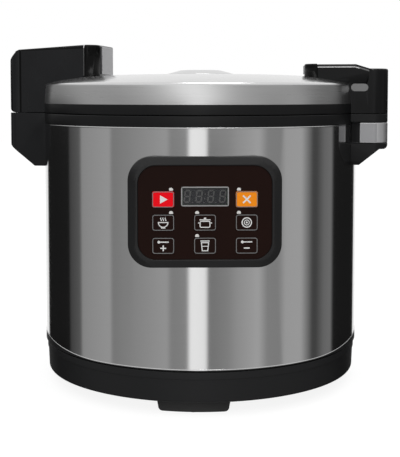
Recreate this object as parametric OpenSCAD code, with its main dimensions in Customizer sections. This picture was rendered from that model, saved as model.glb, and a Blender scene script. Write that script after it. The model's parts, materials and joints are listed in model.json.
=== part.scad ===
// Commercial rice warmer: round steel body, hinged lid, side latch and front key panel.
// Origin on the floor under the body axis, +Z up, key panel towards -Y, latch towards +X.

/* [Body] */
// Outside radius of the steel body
body_r = 190; // [175:1:205]
// Height of the steel shell
shell_h = 260; // [235:1:300]
// Thickness of the sheet steel
sheet_t = 1.2; // [0.8:0.1:2]
// Height of the base housing
base_h = 34; // [30:1:45]
// Wall of the base housing
base_wall = 3.5; // [2.5:0.5:5]
// How far the base draws in towards its bottom
base_draft = 1; // [0.5:0.1:6]
// Radius of the base's bottom edge
base_fillet = 3.5; // [3:0.5:12]
// Height of the plain band round the top of the base
base_band_h = 8; // [5:0.5:11]
// Step below that band
base_band_step = 0.8; // [0.4:0.1:1.5]
// How far the base stands back from the shell
base_inset = 1.5; // [0.5:0.1:3]
// Dark gap between the base and the shell
reveal_h = 2; // [1:0.5:4]
// Depth of that gap
reveal_depth = 2.2; // [1:0.1:4]
// Height of the collar that carries the shell
collar_h = 12; // [8:1:20]
// Thickness of the base floor
base_floor_t = 4; // [3:0.5:6]
// Width of the base floor ring
base_floor_w = 38; // [34:1:40]
// Width of the step that holds the bottom cover
cover_step_w = 10; // [8:1:14]
// Thickness of the lip over the bottom cover
cover_lip_t = 2.3; // [1.5:0.1:2.5]
// Width of the vent slots in the bottom cover
vent_slot_w = 5; // [3:0.5:8]
// Length of those slots
vent_slot_len = 30; // [16:1:40]
// Distance of the slots' middle from the axis
vent_slot_place = 52; // [40:1:60]

/* [Feet] */
// Height of the feet
foot_h = 15; // [9:1:20]
// Width of each foot
foot_w = 82; // [60:1:100]
// Depth of each foot
foot_d = 44; // [34:1:60]
// How far a foot's ends draw in towards the floor
foot_taper = 2; // [0:0.5:5]
// Radius of a foot's lower corners
foot_corner = 5; // [2:0.5:8]
// Turn of the foot ring against the panel
foot_turn = -4; // [-10:0.5:10]
// How far the feet stand back from the side of the base
foot_set_back = 16.5; // [14.5:0.5:18]

/* [Rims] */
// Height of the black ring on the body
body_ring_h = 12; // [9:0.5:16]
// Height of the black ring on the lid
lid_ring_h = 11.3; // [9:0.1:16]
// Gap between the two rings
seam_gap = 0.4; // [0.3:0.1:1]
// Radial width of the two rings
ring_w = 20; // [17:0.5:22]
// Depth of the lip that a ring puts into the steel
ring_lip_h = 9; // [6:0.5:14]
// Thickness of that lip
ring_lip_t = 2.6; // [2:0.1:4]
// How far the body ring's floor lies below the steel's top edge
ring_floor_drop = 3; // [2:0.5:5]
// Drop from the body ring's top to the ledge for the pot
ledge_drop = 7.5; // [6:0.5:9]

/* [Pot and heater] */
// Radial space between the steel body and the pot
pot_gap = 32; // [30:0.5:40]
// Clearance round the pot in the body ring
pot_clear = 2; // [1.5:0.1:3]
// Wall of the pot
pot_t = 2; // [1.5:0.1:3]
// Depth of the pot below its rim
pot_depth = 220; // [190:1:235]
// Radius of the pot's bottom edge
pot_corner = 24; // [15:1:35]
// Width of the pot's rim
pot_rim_w = 8.5; // [7:0.5:9]
// Thickness of the pot's rim
pot_rim_t = 3; // [2:0.5:4]
// Space between the pot and the liner
liner_gap = 7; // [5:0.5:8]
// Thickness of the liner
liner_t = 0.8; // [0.6:0.1:1.2]
// Width of the liner's top flange
liner_flange_w = 10; // [6:0.5:12]
// Space below the pot down to the liner's floor
liner_drop = 21; // [19:0.5:26]
// Radius of the hole in the liner's floor
liner_hole_r = 30; // [25:1:40]
// Thickness of the warming band
band_t = 2.5; // [1.5:0.1:3]
// Height of the warming band
band_h = 40; // [20:1:60]
// Distance of the insulation from the liner's floor and the ring above
insulation_end = 4; // [2:0.5:10]
// Thickness of the insulation
insulation_t = 6.5; // [4:0.5:7]
// Radius of the heating plate
plate_r = 118; // [95:1:125]
// Thickness of the heating plate
plate_t = 14; // [10:0.5:16]
// Bevel on the heating plate's edges
plate_bevel = 2; // [1:0.5:4]
// Radius of the heater terminals
terminal_r = 4; // [3:0.5:5]
// Length of the heater terminals
terminal_len = 19; // [16:1:24]
// Clearance round the terminals in the liner's floor
terminal_clear = 2; // [1:0.5:4]
// Radius of the supports under the heating plate
support_r = 7; // [5:0.5:10]
// Distance of the supports from the axis
support_place = 85; // [70:1:92]
// Radius of the thermal fuse
fuse_r = 3; // [2:0.5:5]
// Length of the thermal fuse
fuse_len = 26; // [18:1:40]

/* [Temperature sensor] */
// Radius of the sensor cup
sensor_r = 18; // [14:0.5:22]
// Height of the sensor cup
sensor_h = 10; // [8:0.5:12]
// Radius of the sensor stem
stem_r = 5; // [4:0.5:6]
// Length of the stem below the holder
stem_out = 8; // [5:0.5:10]
// Length of the holder's guide tube
guide_len = 14; // [10:0.5:16]
// Wall of the guide tube
guide_wall = 3; // [2:0.5:4]
// Width of the holder's flange under the liner
holder_flange_w = 10; // [6:0.5:15]
// Thickness of the holder's flange
holder_t = 1.2; // [0.8:0.1:2]
// How far the sensor can be pressed down
sensor_travel = 4; // [2:0.5:5]
// Wire thickness of the sensor spring
sensor_wire = 1.4; // [1:0.1:1.6]

/* [Lid] */
// Height of the straight part of the lid's skirt
lid_skirt_h = 20; // [10:0.1:24]
// How far the skirt draws in
lid_draft = 1.5; // [0:0.1:3]
// Radius of the lid's shoulder
lid_shoulder = 4; // [3:0.5:8]
// Rise of the dome above the shoulder
dome_h = 11; // [8:0.5:16]
// Thickness of the lid's inner panel
inner_panel_t = 1.2; // [0.8:0.1:2]
// Drop of the inner panel below its flange
inner_panel_drop = 7.8; // [6.5:0.1:8.2]
// Width of the inner panel's flange
inner_flange_w = 6; // [4:0.5:8]
// Width of the lid gasket
gasket_w = 6.5; // [5:0.5:7]
// Thickness of the lid's insulation
lid_insulation_t = 26; // [15:1:30]

/* [Steam vent] */
// Radius of the vent cap's top
cap_top_r = 22; // [18:0.5:28]
// Radius of the vent cap's rim
cap_rim_r = 41; // [34:0.5:50]
// Height of the vent cap
cap_h = 5.4; // [3:0.1:8]
// Wall of the vent cap
cap_wall = 1.5; // [1:0.1:2]
// Width of the rounded edge round the cap's top
cap_edge_w = 3; // [1:0.5:6]
// Drop of that edge
cap_edge_h = 0.3; // [0.1:0.1:1]
// Thickness of the vent cap's rim
cap_rim_t = 0.8; // [0.6:0.1:1.2]
// Inside radius of the vent tube
tube_r = 8; // [6:0.5:10]
// Wall of the vent tube
tube_wall = 2; // [1.5:0.1:3]
// How far the cap's spigot reaches into the tube
spigot_len = 12; // [8:0.5:20]
// Radius of the steam holes
steam_hole_r = 1.8; // [1:0.1:2.5]

/* [Arms] */
// Turn of the hinge and latch line against the panel
arm_turn = 11; // [5:0.5:15]
// Width of both arms
arm_w = 90; // [76:1:100]
// Radius of the hinge side's outer corners in plan
hinge_corner = 10; // [8:0.5:14]
// Radius of the latch side's outer corners in plan
latch_corner = 17; // [12:0.5:17.5]
// Radius of the arms' inner ends in plan
arm_end_r = 15; // [12:0.5:16]
// Length of the separate end caps on the arms
end_cap_len = 16.5; // [16:0.5:26]
// How far the handle's end cap stands proud
end_cap_proud = 0.8; // [0.5:0.1:2.5]
// Thickness of the silver end plates
end_plate_t = 1.5; // [1:0.1:3]
// Width of the silver end plates
end_plate_w = 52; // [40:1:53]
// Border round the silver end plates
end_plate_edge = 1.8; // [1:0.1:4]
// How far the hinge arm reaches out from the body
hinge_out = 41.5; // [40:0.5:50]
// Length of the hinge arm over the lid
hinge_len = 112.5; // [100:0.5:130]
// Rise of the hinge arm's outer top edge above the lid's dome
hinge_rise = 30; // [20:0.5:40]
// Further rise of the top towards the arm's inner end
hinge_slope = 7; // [0:0.5:12]
// Size of the bevel on the arm's outer top edge
hinge_bevel = 12; // [6:0.5:16]
// How far the handle reaches out from the body
handle_out = 37; // [36:0.5:44]
// Length of the handle over the lid
handle_len = 97.5; // [88:0.5:110]
// Rise of the handle's bar above the lid's dome
handle_rise = 11; // [6:0.5:14]
// Drop of the handle's outer end below its bar
handle_drop = 5; // [2:0.5:6]
// Width of the slope between bar and outer end
handle_slope_w = 16; // [8:1:20]
// Width of the handle's outer end
handle_post_w = 21; // [16:0.5:22]
// Height of the hinge bracket on the body
bracket_h = 65; // [58:1:75]
// Height of the slant under the hinge bracket
bracket_slant_h = 26; // [15:0.5:26]
// Width of the slant under the hinge bracket
bracket_slant_w = 32.5; // [15:0.5:34]
// Wall of the hollow brackets and arms
bracket_wall = 4; // [3:0.5:5]
// Length of the pale inlay on the handle
inlay_len = 20; // [14:0.5:22]
// Height of the inlay
inlay_h = 9; // [6:0.5:11]
// Drop of the inlay's middle below the handle's outer end
inlay_drop = 22; // [12:0.5:25]
// Distance of the inlay from the handle's outer end
inlay_gap = 1.5; // [1:0.5:6]
// Depth of the inlay
inlay_t = 1.5; // [1:0.1:2.5]

/* [Hinge] */
// Radius of the hinge pin
pin_r = 3; // [2.5:0.1:4]
// Distance of the pin from the arm's outer face
pin_inset = 9; // [8.5:0.1:11]
// Height of the pin above the bracket
pin_rise = 9.5; // [9.3:0.1:12]
// Radius of the hinge knuckle
knuckle_r = 7; // [6:0.1:7.6]
// Width of the hinge knuckle
knuckle_w = 36; // [24:1:50]

/* [Latch] */
// Height of the flange over the latch button
flange_h = 10; // [8:0.5:14]
// Height of the latch button
button_h = 23.4; // [18:0.1:26]
// Length of the latch button's sides
button_len = 32; // [28:0.5:33]
// Height of the lip under the latch button
latch_lip_h = 7; // [6:0.5:9]
// Width of that lip
latch_lip_w = 9.5; // [7:0.5:12]
// Radius of the lip's outer edge
latch_lip_r = 5; // [3:0.5:6]
// Height of the slant below the lip
latch_slant_h = 18.5; // [14:0.5:22]
// Width of the slant below the lip
latch_slant_w = 23; // [15:0.5:25]
// Wall of the latch button
button_wall = 3; // [2:0.5:4]
// How far the latch button can be pressed
latch_travel = 4; // [2:0.5:5]
// Thickness of the latch hook
hook_t = 3; // [2:0.5:4]
// Width of the latch hook
hook_w = 14; // [10:1:20]
// How far the hook rises into the handle
hook_rise = 8; // [6:0.5:10]
// Length of the hook's nose
hook_nose = 3; // [2:0.5:3.5]
// Distance of the hook from the button's inside face
hook_set = 20; // [18:0.5:22]
// Thickness of the strike plate
strike_t = 2; // [1.5:0.1:3]
// Radius of the latch springs
latch_spring_r = 3.2; // [2.5:0.1:4]
// Wire thickness of the latch springs
latch_wire = 0.9; // [0.7:0.1:1]
// Length of the latch springs
latch_spring_len = 16; // [14:0.5:18]
// Distance of each latch spring from the middle
latch_spring_place = 24; // [16:1:28]

/* [Control panel] */
// Width of the bezel
bezel_w = 163; // [150:1:175]
// Height of the bezel
bezel_h = 118; // [112:1:130]
// Corner radius of the bezel
bezel_corner = 25.5; // [20:0.5:30]
// Width of the bezel's front bevel
bezel_bevel = 8; // [6:0.5:9]
// Depth of the bezel's front bevel
bezel_bevel_d = 4.5; // [3:0.5:5]
// Rise of the bezel in front of the body
panel_proud = 6; // [5:0.5:10]
// Height of the panel's middle above the floor
panel_z = 221.5; // [190:0.5:230]
// Width of the face plate
face_w = 141; // [136:1:142]
// Height of the face plate
face_h = 99; // [95:1:100]
// Corner radius of the face plate
face_corner = 19; // [10:0.5:20]
// Thickness of the face plate
face_t = 2; // [1.5:0.1:3]
// Depth of the face plate below the bezel's lip
face_recess = 1.5; // [1:0.1:2]
// Width of the ledge behind the face plate
face_ledge = 4; // [3:0.5:4]
// Width of a key
key_w = 23; // [18:0.5:26]
// Height of a key
key_h = 17; // [14:0.5:19]
// Corner radius of a key
key_corner = 2.2; // [1:0.1:3]
// Step from one column of keys to the next
key_step_x = 44; // [40:0.5:46]
// Step from one row of keys to the next
key_step_z = 24.5; // [23:0.5:26]
// Height of the top row above the panel's middle
key_top_z = 14; // [10:0.5:16]
// How far a key stands out of the face plate
key_proud = 0.4; // [0.2:0.1:1]
// How far a key can be pressed
key_travel = 0.6; // [0.3:0.1:0.8]
// Width of the flange that holds a key in
key_flange_w = 1; // [0.8:0.1:1.4]
// Thickness of that flange
key_flange_t = 1; // [0.8:0.1:1.2]
// Radius of the stem behind a key
key_stem_r = 1.7; // [1.2:0.1:2]
// Width of a tact switch
switch_w = 6; // [5:0.5:8]
// Height of a tact switch
switch_h = 3.5; // [3:0.1:4.5]
// Radius of an indicator lens
lens_r = 2.2; // [1.5:0.1:2.5]
// Height of a lens above the key below it
lens_rise = 1.6; // [1:0.1:2]
// Distance of a lens from the middle of its key
lens_shift = 8.3; // [5:0.1:9]
// Width of the display frame
display_w = 50.3; // [44:0.1:54]
// Height of the display frame
display_h = 20.8; // [17:0.1:22]
// Height of the display's middle above the panel's middle
display_z = 17; // [14:0.5:20]
// Width of the display frame's border
display_border = 1.3; // [0.8:0.1:2]
// Thickness of the display window
window_t = 1.5; // [1:0.1:2]
// Space between the face plate and the control board
board_gap = 7; // [6.5:0.5:10]
// Thickness of the circuit boards
board_t = 1.6; // [1:0.1:2]
// Space round the control board inside the bezel
board_edge = 2; // [1.5:0.5:4]
// Distance of the board posts from the sides of the bezel's opening
post_edge = 5.5; // [5:0.1:6]
// Wall of the board posts
post_wall = 2; // [1.5:0.1:2.5]

/* [Power inlet] */
// Width of the inlet housing
inlet_w = 50; // [44:1:60]
// Height of the inlet housing
inlet_h = 34; // [28:1:40]
// Corner radius of the inlet housing
inlet_corner = 5; // [3:0.5:7]
// Height of the inlet's middle above the floor
inlet_z = 96; // [80:1:110]
// Width of the socket
socket_w = 24; // [23:0.5:26]
// Height of the socket
socket_h = 16; // [15.5:0.5:17]
// Depth of the socket
socket_d = 15; // [14:0.5:16]
// Wall of the inlet where it passes the shell
inlet_wall = 3; // [2:0.5:4]
// Corner radius of the socket
socket_corner = 2; // [1:0.5:4]
// Depth of the inlet behind the socket
inlet_back = 4; // [3:0.5:4.5]
// Distance of the outer contact pins from the middle
contact_step = 7; // [6:0.5:8]
// Height of a contact pin's section
contact_h = 4; // [3:0.5:4]
// Thickness of a contact pin's section
contact_t = 2; // [1.5:0.5:2]
// Distance of a contact's tip below the socket's mouth
contact_recess = 2; // [1:0.5:4]

/* [Data plate] */
// Height of the bare data plate
data_h = 100; // [60:1:120]
// Angle that the data plate covers
data_angle = 26; // [15:1:40]
// Turn of the data plate's front edge against the latch side
data_turn = 1; // [-5:1:20]
// Thickness of the data plate
data_t = 0.6; // [0.4:0.1:1]
// Height of the data plate's lower edge above the shell's bottom
data_rise = 14; // [8:1:40]

/* [Power board] */
// Length of the power board
power_len = 100; // [80:1:110]
// Width of the power board
power_w = 64; // [50:1:70]
// Space from the power board's outer edge to the bottom cover's edge
power_edge = 44; // [37:1:47]
// Height of the studs under the power board
stud_h = 8; // [6:0.5:12]
// Height of the tallest part on the power board
power_part_h = 26; // [15:1:28]

/* [Fasteners] */
// Radius of the screws
screw_r = 2; // [1.5:0.1:2.5]
// Radius of the screw heads
head_r = 4; // [3.5:0.1:4.5]
// Height of the screw heads
head_h = 2.2; // [1.8:0.1:3]
// Length of the screws
screw_len = 10; // [9:0.5:12]

/* [Fits] */
// Clearance between fixed pieces
fit = 0.15; // [0.1:0.01:0.2]
// Clearance between sliding pieces
slip = 0.3; // [0.2:0.05:0.5]
// Clearance of a shaft in its bore
run = 0.05; // [0.03:0.01:0.08]

/* [Hidden] */
$fn = 96;
EPS = 0.01;
FAR = 400;
SPRING_SIDES = 6;
SPRING_RINGS = 8;
SENSOR_TURNS = 4;
LATCH_TURNS = 7;
ARC_STEPS = 8;
DOME_STEPS = 20;
DOME_POWER = 4.5;
SHOULDER_TURN = 68;

// Levels from the floor up
z_base = foot_h;
z_base_top = z_base + base_h;
z_shell = z_base_top + reveal_h;
z_ring = z_shell + shell_h;
z_seam = z_ring + body_ring_h;
z_lid = z_seam + seam_gap;
z_skirt = z_lid + lid_ring_h;
z_shoulder = z_skirt + lid_skirt_h;
z_dome_edge = z_shoulder + lid_shoulder * sin(SHOULDER_TURN);
z_dome = z_dome_edge + dome_h;
z_ledge = z_seam - ledge_drop;
z_pot = z_ledge - pot_depth;
z_plate_top = z_pot - fit;
z_plate = z_plate_top - plate_t;
z_liner = z_pot - liner_drop;
z_ring_under = z_ring - ring_floor_drop;
z_cover_top = z_base + base_floor_t - cover_lip_t - fit;
z_inner_flange = z_lid + lid_ring_h / 2;
z_inner_panel = z_inner_flange - inner_panel_drop;

// Radii from the axis out
shell_in_r = body_r - sheet_t;
base_r = body_r - base_inset;
base_foot_r = base_r - base_band_step - base_draft;
ring_in_r = body_r - ring_w;
pot_r = body_r - pot_gap;
liner_r = pot_r + liner_gap + liner_t;
band_r = liner_r + fit;
insulation_r = band_r + band_t + slip;
inner_panel_r = ring_in_r - 3 * slip;
floor_in_r = base_foot_r - base_floor_w;
cover_r = floor_in_r + cover_step_w;
power_place = cover_r - power_edge - power_w / 2;
dome_c = body_r - lid_draft - lid_shoulder;
dome_r = dome_c + lid_shoulder * cos(SHOULDER_TURN);

// Arm line
hinge_reach = body_r + hinge_out;
handle_reach = body_r + handle_out;
hinge_end = hinge_reach - hinge_len;
handle_end = handle_reach - handle_len;
z_pin = z_seam + pin_rise;
u_pin = hinge_reach - pin_inset;
z_bracket = z_seam - bracket_h;
z_flange = z_seam - flange_h;
z_button = z_flange - slip - button_h;
z_latch_lip = z_button - slip - latch_lip_h;
z_latch_low = z_latch_lip - latch_slant_h;
u_button = handle_reach - button_len;
u_button_in = handle_reach - button_wall;
u_core = u_button_in - latch_travel - 2 * slip;
u_hook = u_button_in - hook_set;
u_strike = u_hook + hook_t + hook_nose + 2 * slip;
hook_slot_w = hook_w + 4 * slip;
z_hook = z_button + button_h / 4;
z_handle_top = z_dome + handle_rise;
z_hinge_top = z_dome + hinge_rise;

// Panel depths, measured from the axis towards the front
d_lip = body_r + panel_proud;
d_face = d_lip - face_recess;
d_face_back = d_face - face_t;
d_board = d_face_back - board_gap;
d_switch = d_board + switch_h;
opening_w = face_w - 2 * face_ledge;
opening_h = face_h - 2 * face_ledge;
opening_corner = face_corner - face_ledge;
board_w = opening_w - 2 * board_edge;
board_h = opening_h - 2 * board_edge;
bezel_sag = body_r - sqrt(body_r * body_r - bezel_w * bezel_w / 4);
post_x = opening_w / 2 - post_edge;
post_z = board_h / 4;
d_inlet = body_r + panel_proud;
inlet_neck_w = socket_w + 2 * inlet_wall;
inlet_neck_h = socket_h + 2 * inlet_wall;

// Key places: name, column, row and side of the indicator lens
KEYS = [
    ["key_start", -1, 0, 1], ["key_cancel", 1, 0, -1],
    ["key_one", -1, 1, 1], ["key_two", 0, 1, -1], ["key_three", 1, 1, -1],
    ["key_plus", -1, 2, 0], ["key_four", 0, 2, -1], ["key_minus", 1, 2, 0]
];
function key_x(key) = key[1] * key_step_x;
function key_z(key) = key_top_z - key[2] * key_step_z;

// Height of the lid's top at a distance from the axis
function dome_z(r) = z_dome - dome_h * pow(r / dome_r, DOME_POWER);

// Outline of the lid's outside from its lower edge to the axis, grown by a margin
function lid_outline(low, grow) = concat(
    [[body_r + grow, low], [body_r + grow, z_skirt]],
    [for (i = [0 : ARC_STEPS])
        let (a = SHOULDER_TURN * i / ARC_STEPS)
        [dome_c + (lid_shoulder + grow) * cos(a), z_shoulder + (lid_shoulder + grow) * sin(a)]],
    [for (i = [1 : DOME_STEPS])
        let (r = dome_r * (1 - i / DOME_STEPS))
        [r, dome_z(r) + grow]]
);

// Points on a round stretch
function arc(cx, cy, r, from, to) = [
    for (i = [0 : ARC_STEPS])
        let (a = from + (to - from) * i / ARC_STEPS)
        [cx + r * cos(a), cy + r * sin(a)]
];

// Coil spring standing on the origin
module coil(r, wire, len, turns) {
    rise = len - wire;
    steps = turns * SPRING_RINGS;
    gap = rise / turns - wire;
    echo(str("least gap between turns ", gap));
    points = [
        for (i = [0 : steps])
            let (a = 360 * i / SPRING_RINGS)
            for (s = [0 : SPRING_SIDES - 1])
                let (b = 360 * s / SPRING_SIDES)
                let (q = r + wire / 2 * cos(b))
                [q * cos(a), q * sin(a), wire / 2 + rise * i / steps + wire / 2 * sin(b)]
    ];
    sides = [
        for (i = [0 : steps - 1])
            for (s = [0 : SPRING_SIDES - 1])
                let (n = (s + 1) % SPRING_SIDES)
                let (low = i * SPRING_SIDES)
                let (high = low + SPRING_SIDES)
                for (f = [[low + s, high + s, low + n], [low + n, high + s, high + n]]) f
    ];
    first = [for (s = [1 : SPRING_SIDES - 2]) [0, s, s + 1]];
    last = [for (s = [1 : SPRING_SIDES - 2]) let (e = steps * SPRING_SIDES) [e, e + s + 1, e + s]];
    polyhedron(points, concat(sides, first, last), convexity = 8);
}

// Flat ring round the axis
module ring(r_out, r_in, low, high) {
    rotate_extrude() translate([r_in, low]) square([r_out - r_in, high - low]);
}

// Rectangle with round corners, centred
module rounded_rect(w, h, r) {
    square([w - 2 * r, h], center = true);
    square([w, h - 2 * r], center = true);
    for (x = [-1, 1])
        for (y = [-1, 1])
            translate([x * (w / 2 - r), y * (h / 2 - r)]) circle(r);
}

// Plan of an arm from its inner to its outer end
module arm_plan(from, to, w, r_from, r_to) {
    translate([from + r_from, -w / 2]) square([to - r_to - from - r_from, w]);
    translate([from, r_from - w / 2]) square([2 * r_from, w - 2 * r_from]);
    translate([to - 2 * r_to, r_to - w / 2]) square([2 * r_to, w - 2 * r_to]);
    for (side = [-1, 1]) {
        translate([from + r_from, side * (w / 2 - r_from)]) circle(r_from);
        translate([to - r_to, side * (w / 2 - r_to)]) circle(r_to);
    }
}

// Side outline spread over an arm's width
module across(w) {
    rotate([90, 0, 0]) linear_extrude(w, center = true) children();
}

// Side frames: local X points out from the body
module hinge_side() {
    rotate([0, 0, -arm_turn]) mirror([1, 0, 0]) children();
}

module latch_side() {
    rotate([0, 0, -arm_turn]) children();
}

// Panel frame: local X to the right, local Y up, local Z towards the front
module panel_frame() {
    translate([0, 0, panel_z]) rotate([90, 0, 0]) children();
}

// Inlet frame: local Z towards the back
module inlet_frame() {
    translate([0, 0, inlet_z]) rotate([90, 0, 180]) children();
}

// Slab of a plan between two depths of the panel frame
module slab(low, high) {
    translate([0, 0, low]) linear_extrude(high - low) children();
}

// Screw along local Z with its head's seat at the origin
module screw(len) {
    translate([0, 0, -EPS]) cylinder(r = screw_r, h = len + EPS);
    translate([0, 0, -head_h]) cylinder(r = head_r, h = head_h);
}

// Screw places: two rows of two on each bracket
module bracket_screw_places() {
    for (y = [-1, 1])
        for (z = [z_bracket + bracket_slant_h, z_ring - ring_lip_h - 2 * head_r])
            translate([0, y * arm_w / 4, z]) rotate([0, 90, 0]) children();
}

// Distance from the axis to the shell's inside at the bracket screws
bracket_seat = sqrt(shell_in_r * shell_in_r - pow(arm_w / 4 + head_r, 2));

module bracket_holes() {
    bracket_screw_places() cylinder(r = screw_r + fit, h = bracket_seat + screw_len + fit);
}

// Opening behind the bezel
module panel_opening(low, high) {
    panel_frame() slab(low, high) rounded_rect(opening_w, opening_h, opening_corner);
}

// Places of the four screws that hold the bezel to the shell
module bezel_screw_places() {
    for (x = [-1, 1])
        for (y = [-1, 1])
            translate([x * (opening_w + bezel_w) / 4, y * opening_h / 4, 0]) children();
}

bezel_seat = sqrt(shell_in_r * shell_in_r - pow((opening_w + bezel_w) / 4 + head_r, 2)) - fit;

module outer_shell() {
    color("silver") difference() {
        ring(body_r, shell_in_r, z_shell, z_ring - fit);
        panel_opening(0, FAR);
        panel_frame() bezel_screw_places() cylinder(r = screw_r + fit, h = FAR);
        inlet_frame() slab(0, FAR) rounded_rect(inlet_neck_w, inlet_neck_h, inlet_corner);
        hinge_side() bracket_holes();
        latch_side() bracket_holes();
    }
}

module base_housing() {
    out = base_r - base_band_step;
    band_low = z_base_top - base_band_h;
    collar_r = shell_in_r - fit;
    in = base_foot_r - base_wall;
    color([0.13, 0.13, 0.13]) difference() {
        rotate_extrude() polygon(concat(
            [[floor_in_r, z_base + base_floor_t], [floor_in_r, z_base + base_floor_t - cover_lip_t],
                [cover_r + fit, z_base + base_floor_t - cover_lip_t], [cover_r + fit, z_base]],
            arc(base_foot_r - base_fillet, z_base + base_fillet, base_fillet, -90, 0),
            [[out, band_low], [base_r, band_low], [base_r, z_base_top],
                [base_r - reveal_depth, z_base_top], [base_r - reveal_depth, z_shell],
                [collar_r, z_shell], [collar_r, z_shell + collar_h], [in, z_shell + collar_h],
                [in, z_base + base_floor_t]]
        ));
        foot_places() translate([0, foot_screw_r, 0]) cylinder(r = screw_r + fit, h = FAR);
        cover_screw_places() cylinder(r = screw_r + fit, h = FAR);
    }
}

// Foot screws stand in the solid part of the base floor
foot_out_r = base_foot_r - foot_set_back;
foot_screw_r = (cover_r + foot_out_r) / 2;
cover_screw_r = (floor_in_r + cover_r) / 2;

module foot_places() {
    for (i = [0 : 3]) rotate([0, 0, 180 + foot_turn + 90 * i]) children();
}

module cover_screw_places() {
    for (i = [0 : 3]) rotate([0, 0, 45 + foot_turn + 90 * i]) translate([0, cover_screw_r, 0]) children();
}

module power_stud_places() {
    for (x = [-1, 1])
        for (y = [-1, 1])
            translate([x * (power_w / 2 - 2 * head_r) - power_place, y * (power_len / 2 - 2 * head_r), 0])
                children();
}

module bottom_cover() {
    low = z_cover_top - sheet_t;
    color("gainsboro") difference() {
        union() {
            translate([0, 0, low]) cylinder(r = cover_r, h = sheet_t);
            power_stud_places() translate([0, 0, low]) cylinder(r = head_r, h = sheet_t + stud_h);
        }
        for (i = [0 : 11])
            rotate([0, 0, 30 * i])
                translate([0, vent_slot_place, low - EPS]) linear_extrude(sheet_t + 2 * EPS)
                    rounded_rect(vent_slot_w, vent_slot_len, vent_slot_w / 2 - EPS);
        cover_screw_places() translate([0, 0, low - EPS]) cylinder(r = screw_r + fit, h = 2 * sheet_t);
    }
}

module foot_block() {
    difference() {
        translate([0, foot_out_r - foot_d / 2, 0]) across(foot_d) polygon(concat(
            [[-foot_w / 2, z_base], [foot_w / 2, z_base]],
            arc(foot_w / 2 - foot_taper - foot_corner, foot_corner, foot_corner, 0, -90),
            arc(foot_taper + foot_corner - foot_w / 2, foot_corner, foot_corner, -90, -180)
        ));
        translate([0, foot_screw_r, -EPS]) cylinder(r = screw_r + fit, h = FAR);
        translate([0, foot_screw_r, -EPS]) cylinder(r = head_r + slip, h = foot_h / 2);
    }
}

module feet() {
    color([0.08, 0.08, 0.08]) intersection() {
        foot_places() foot_block();
        cylinder(r = foot_out_r, h = foot_h);
    }
}

module base_screws() {
    color("gray") union() {
        foot_places() translate([0, foot_screw_r, foot_h / 2 - EPS])
            screw(foot_h / 2 + base_floor_t);
        cover_screw_places() translate([0, 0, z_cover_top - sheet_t]) screw(base_floor_t);
    }
}

module body_rim_ring() {
    lip_r = shell_in_r - fit;
    bore_r = pot_r + pot_clear;
    color([0.11, 0.11, 0.11]) rotate_extrude() polygon([
        [body_r, z_ring], [body_r, z_seam], [ring_in_r, z_seam], [ring_in_r, z_ledge], [bore_r, z_ledge],
        [bore_r, z_ring_under], [lip_r - ring_lip_t, z_ring_under], [lip_r - ring_lip_t, z_ring - ring_lip_h],
        [lip_r, z_ring - ring_lip_h], [lip_r, z_ring]
    ]);
}

module terminal_places() {
    for (a = [80, 100]) rotate([0, 0, a]) translate([plate_r - 3 * terminal_r, 0, 0]) children();
}

module support_places() {
    for (a = [30, 150, 270]) rotate([0, 0, a]) translate([support_place, 0, 0]) children();
}

module inner_liner() {
    top = z_ring_under;
    in = liner_r - liner_t;
    color("lightgray") difference() {
        rotate_extrude() polygon([
            [liner_hole_r, z_liner - liner_t], [liner_r, z_liner - liner_t], [liner_r, top - liner_t],
            [liner_r + liner_flange_w, top - liner_t], [liner_r + liner_flange_w, top], [in, top],
            [in, z_liner], [liner_hole_r, z_liner]
        ]);
        terminal_places() cylinder(r = terminal_r + terminal_clear, h = z_liner + EPS);
    }
}

module insulation_wrap() {
    low = z_liner + insulation_end;
    high = z_ring - ring_lip_h - insulation_end;
    color("khaki") ring(insulation_r + insulation_t, insulation_r, low, high);
}

module warming_band() {
    middle = (z_pot + z_ledge) / 2;
    color("orangered") ring(band_r + band_t, band_r, middle - band_h / 2, middle + band_h / 2);
}

module inner_pot() {
    in = pot_r - pot_t;
    in_corner = pot_corner - pot_t;
    rim_r = pot_r + pot_rim_w;
    color("lightsteelblue") rotate_extrude() polygon(concat(
        [[0, z_pot]],
        arc(pot_r - pot_corner, z_pot + pot_corner, pot_corner, -90, 0),
        [[pot_r, z_ledge]],
        [[rim_r, z_ledge]],
        [[rim_r, z_ledge + pot_rim_t], [in, z_ledge + pot_rim_t]],
        arc(in - in_corner, z_pot + pot_t + in_corner, in_corner, 0, -90),
        [[0, z_pot + pot_t]]
    ));
}

module heating_plate() {
    hole_r = sensor_r + 2 * slip;
    color("darkgray") rotate_extrude() polygon([
        [hole_r, z_plate], [plate_r - plate_bevel, z_plate], [plate_r, z_plate + plate_bevel],
        [plate_r, z_plate_top - plate_bevel], [plate_r - plate_bevel, z_plate_top], [hole_r, z_plate_top]
    ]);
}

module plate_supports() {
    color("slategray") support_places()
        translate([0, 0, z_liner]) cylinder(r = support_r, h = z_plate - z_liner);
}

module heater_terminals() {
    color("goldenrod") terminal_places()
        translate([0, 0, z_plate - terminal_len]) cylinder(r = terminal_r, h = terminal_len);
}

module sensor_holder() {
    top = z_liner - liner_t;
    tube = stem_r + run;
    color("silver") rotate_extrude() polygon([
        [tube, top - guide_len], [tube + guide_wall, top - guide_len], [tube + guide_wall, top - holder_t],
        [liner_hole_r + holder_flange_w, top - holder_t], [liner_hole_r + holder_flange_w, top], [tube, top]
    ]);
}

module sensor_spring() {
    low = z_liner - liner_t + fit;
    high = z_plate_top - sensor_h - fit;
    color("dimgray") translate([0, 0, low])
        coil(stem_r + 2 * sensor_wire, sensor_wire, high - low, SENSOR_TURNS);
}

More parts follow.
